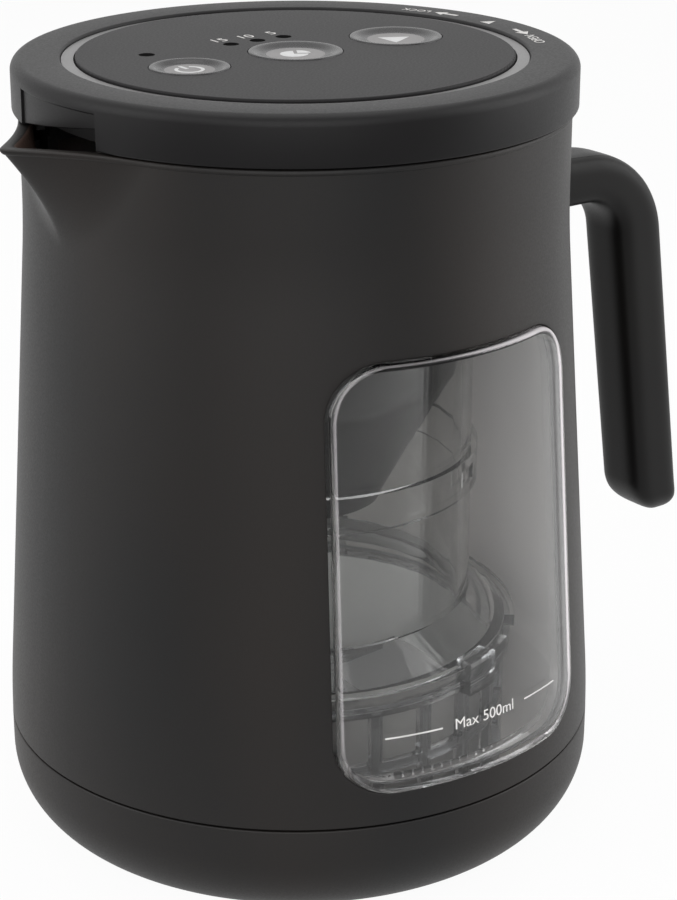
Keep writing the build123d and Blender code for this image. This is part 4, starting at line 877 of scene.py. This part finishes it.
def shifted(mark, x, y, turn=0.0):  # a mark turned about the middle and then moved
    points, faces = mark
    c, s = np.cos(np.radians(turn)), np.sin(np.radians(turn))
    turned = [points[:, 0] * c - points[:, 1] * s + x, points[:, 0] * s + points[:, 1] * c + y, points[:, 2]]
    return np.column_stack(turned), faces


def addMark(name, mark, height, body, slot, ink):  # a mark lifted to its height and made a piece
    points, faces = mark
    addPiece(name, points + [0, 0, height], faces, body, slot, ink)


def onRim(mark, angle):  # a mark on the ring's deck whose top points to the middle
    x, y = marks["rimRadius"] * np.cos(np.radians(angle)), marks["rimRadius"] * np.sin(np.radians(angle))
    return shifted(mark, x, y, angle + 90)


def onPane(mark, height):  # a mark wrapped on the window's front, x along the arc in degrees
    points, faces = mark
    z = points[:, 1] + height
    radius = wallRadius(z) + pane["proud"] + marks["paneGap"] + points[:, 2]
    turn = np.radians(points[:, 0] - 90)
    return np.stack([radius * np.cos(turn), radius * np.sin(turn), z], -1), faces


def fillLine(start, end):  # a thin bar in enough steps to follow the window's curve
    steps = np.linspace(start, end, 16)
    low, high = (np.column_stack([steps, np.full_like(steps, h)])
                 for h in (-fill["lineHalf"], fill["lineHalf"]))
    return slab(np.concatenate([low, high[::-1]]))


minuteWords = joinMarks([shifted(flatText(words, minutes["size"]), x, minutes["y"])
                         for words, x in minutes["words"]])
addMark("minuteMarks", minuteWords, marks["panelTop"], "lid", "panel_plastic", whiteInk)
powerSign = joinMarks([ringSlab(2.45, 3.25, 120, 420),
                       slab([(-0.4, 0.9), (0.4, 0.9), (0.4, 3.9), (-0.4, 3.9)])])
timerSign = joinMarks([ringSlab(0.02, 3.1, 60, 330), shifted(ringSlab(0.02, 2.9, -30, 60), 1.1, 0.3)])
playSign = slab([(-2.4, -3.4), (3.8, 0.0), (-2.4, 3.4)])
# Each sign's piece and mark, the key it stands on, and how far along X it is moved from the key's middle
signs = (("powerSign", powerSign, "power_button", 0.0), ("timerSign", timerSign, "timer_button", -0.4),
         ("playSign", playSign, "start_button", 0.0))
for name, sign, key, move in signs:
    addMark(name, shifted(sign, keys[key][0] + move, 0), marks["keyFace"], key, "button_plastic", keyInk)

triangle = slab([(-1.6, 1.5), (0.0, -1.7), (1.6, 1.5)])
arrow = slab([(-3.3, -0.5), (0.5, -0.5), (0.5, -1.6), (3.3, 0.0), (0.5, 1.6), (0.5, 0.5), (-3.3, 0.5)])
twistMarks = joinMarks([onRim(triangle, 0), onRim(arrow, 14.5), onRim(flatText("LOCK", 2.8), 23),
                        onRim(shifted(arrow, 0, 0, 180), -13.5), onRim(flatText("OPEN", 3.4), -22.5)])
addMark("twistMarks", twistMarks, marks["ringTop"], "lid", "lid_plastic", whiteInk)

fillWords, fillFaces = flatText(fill["words"], fill["size"])
fillWords[:, 0] *= fill["degrees"] / np.ptp(fillWords[:, 0])
fillWords[:, 0] += fill["shift"]
fillMark = joinMarks([(fillWords, fillFaces), *(fillLine(*line) for line in fill["lines"])])
addPiece("fillMark", *onPane(fillMark, fill["height"]), "jug", "clear_plastic", whiteInk)
print("marks printed")

# Studio: pale floor, white surround that is dimmer on the viewer's side, soft lamps at both sides, above and
# in front. The floor's half width and span, and the places and sizes of the lamps and the camera, are in
# metres, and the lamps' power is in watts
scene = bpy.context.scene
scene.view_settings.view_transform = "Standard"
studio = {"floorHexes": ("#f2f2f2", "#f6f6f6"), "floorGrainMm": 3, "floorHalf": 4.0, "floorGlow": 0.95,
          "floorSpan": (-0.02, 0.3), "floorDim": 0.28, "worldStrength": 0.25, "dimSide": (-0.7, -0.71, 0.0),
          "worldSpan": (0.1, 0.85), "worldDim": 0.15}
lamps = {"leftSoftbox": {"place": (-1.0, 0.25, 0.5), "size": (0.8, 1.2), "power": 6},
         "rightSoftbox": {"place": (0.9, -0.55, 0.45), "size": (0.8, 1.2), "power": 6},
         "frontSoftbox": {"place": (-0.77, -1.05, 0.6), "size": (1.5, 1.5), "power": 16},
         "topSoftbox": {"place": (0.1, 0.2, 1.3), "size": (1.0, 1.0), "power": 4}}
lampAim = (0.0, 0.0, 0.09)
photoView = {"place": (-0.30326, -0.42555, 0.28809), "turn": (69.028, 0.0, -36.5),
             "lensMm": 96.524, "sensorMm": 36.0}


def dimmed(tree, direction, span, dim):
    # 1 away from the viewer's side, falling to dim towards it over the span
    ahead = addNode(tree, "VectorMath", {0: direction, 1: studio["dimSide"]}, operation="DOT_PRODUCT")
    return addNode(tree, "MapRange", {"Value": ahead.outputs["Value"], "From Min": span[0],
                                      "From Max": span[1], "To Min": 1.0, "To Max": dim}).outputs[0]


def seenStraight(tree, ray):  # 1 for what is seen directly or through clear plastic
    return addNode(tree, "Math", {0: ray.outputs["Is Camera Ray"], 1: ray.outputs["Is Transmission Ray"]},
                   operation="MAXIMUM").outputs[0]


def buildFloor():
    # white paper sweep: it glows where it is seen, and where it is mirrored it dims on the viewer's side
    material, tree, place = startMaterial("paperSweep")
    pale, white = (colour(hexText) for hexText in studio["floorHexes"])
    grain = addNode(tree, "TexNoise", {"Vector": place, "Scale": 1 / (studio["floorGrainMm"] * mm)})
    tone = addNode(tree, "Mix", {0: grain.outputs["Fac"], 6: pale, 7: white}, data_type="RGBA")
    paper = addNode(tree, "BsdfDiffuse", {"Color": tone.outputs[2]})
    glow = addNode(tree, "Emission", {"Color": colour("#ffffff"), "Strength": 1.0})
    ray = addNode(tree, "LightPath")
    straight = addNode(tree, "Math", {0: seenStraight(tree, ray), 1: studio["floorGlow"]},
                       operation="MULTIPLY")
    both = addNode(tree, "MixShader", {0: straight.outputs[0], 1: paper.outputs[0], 2: glow.outputs[0]})
    level = dimmed(tree, place, studio["floorSpan"], studio["floorDim"])
    mirrored = addNode(tree, "Emission", {"Color": colour("#ffffff"), "Strength": level})
    both = addNode(tree, "MixShader", {0: ray.outputs["Is Glossy Ray"], 1: both.outputs[0],
                                       2: mirrored.outputs[0]})
    addNode(tree, "OutputMaterial", {"Surface": both.outputs[0]})
    far = studio["floorHalf"]
    mesh = bpy.data.meshes.new("paperSweep")
    mesh.from_pydata([(-far, -far, 0), (far, -far, 0), (far, far, 0), (-far, far, 0)], [], [(0, 1, 2, 3)])
    mesh.materials.append(material)
    sweep = bpy.data.objects.new("paperSweep", mesh)
    scene.collection.objects.link(sweep)


def buildWorld():
    # white where it is seen, dim on the viewer's side where it is mirrored, and low as a light
    world = bpy.data.worlds.new("whiteStudio")
    scene.world = world
    world.use_nodes = True
    tree = world.node_tree
    tree.nodes.clear()
    ray = addNode(tree, "LightPath")
    direction = addNode(tree, "TexCoord").outputs["Generated"]
    mirrored = dimmed(tree, direction, studio["worldSpan"], studio["worldDim"])
    glossy = addNode(tree, "MapRange", {"Value": ray.outputs["Is Glossy Ray"],
                                        "To Min": studio["worldStrength"], "To Max": mirrored})
    level = addNode(tree, "Math", {0: seenStraight(tree, ray), 1: glossy.outputs[0]}, operation="MAXIMUM")
    white = addNode(tree, "Background", {"Color": colour("#ffffff"), "Strength": level.outputs[0]})
    addNode(tree, "OutputWorld", {"Surface": white.outputs[0]})


def addLamp(name, place, size, power):  # a rectangular softbox turned to the object
    lamp = bpy.data.lights.new(name, "AREA")
    lamp.shape, lamp.size, lamp.size_y, lamp.energy = "RECTANGLE", size[0], size[1], power
    holder = bpy.data.objects.new(name, lamp)
    holder.location = place
    toAim = np.array(lampAim) - place
    flatLength = np.hypot(toAim[0], toAim[1])
    holder.rotation_euler = (np.arctan2(flatLength, -toAim[2]), 0, np.arctan2(toAim[1], toAim[0]) - np.pi / 2)
    scene.collection.objects.link(holder)


buildFloor()
buildWorld()
for name, lamp in lamps.items():
    addLamp(name, **lamp)

camera = bpy.data.cameras.new("photoCamera")
camera.sensor_fit, camera.sensor_height, camera.lens = "VERTICAL", photoView["sensorMm"], photoView["lensMm"]
viewer = bpy.data.objects.new("photoCamera", camera)
viewer.location = photoView["place"]
viewer.rotation_euler = np.radians(photoView["turn"])
scene.collection.objects.link(viewer)
scene.camera = viewer
print("studio ready")

bpy.context.view_layer.update()
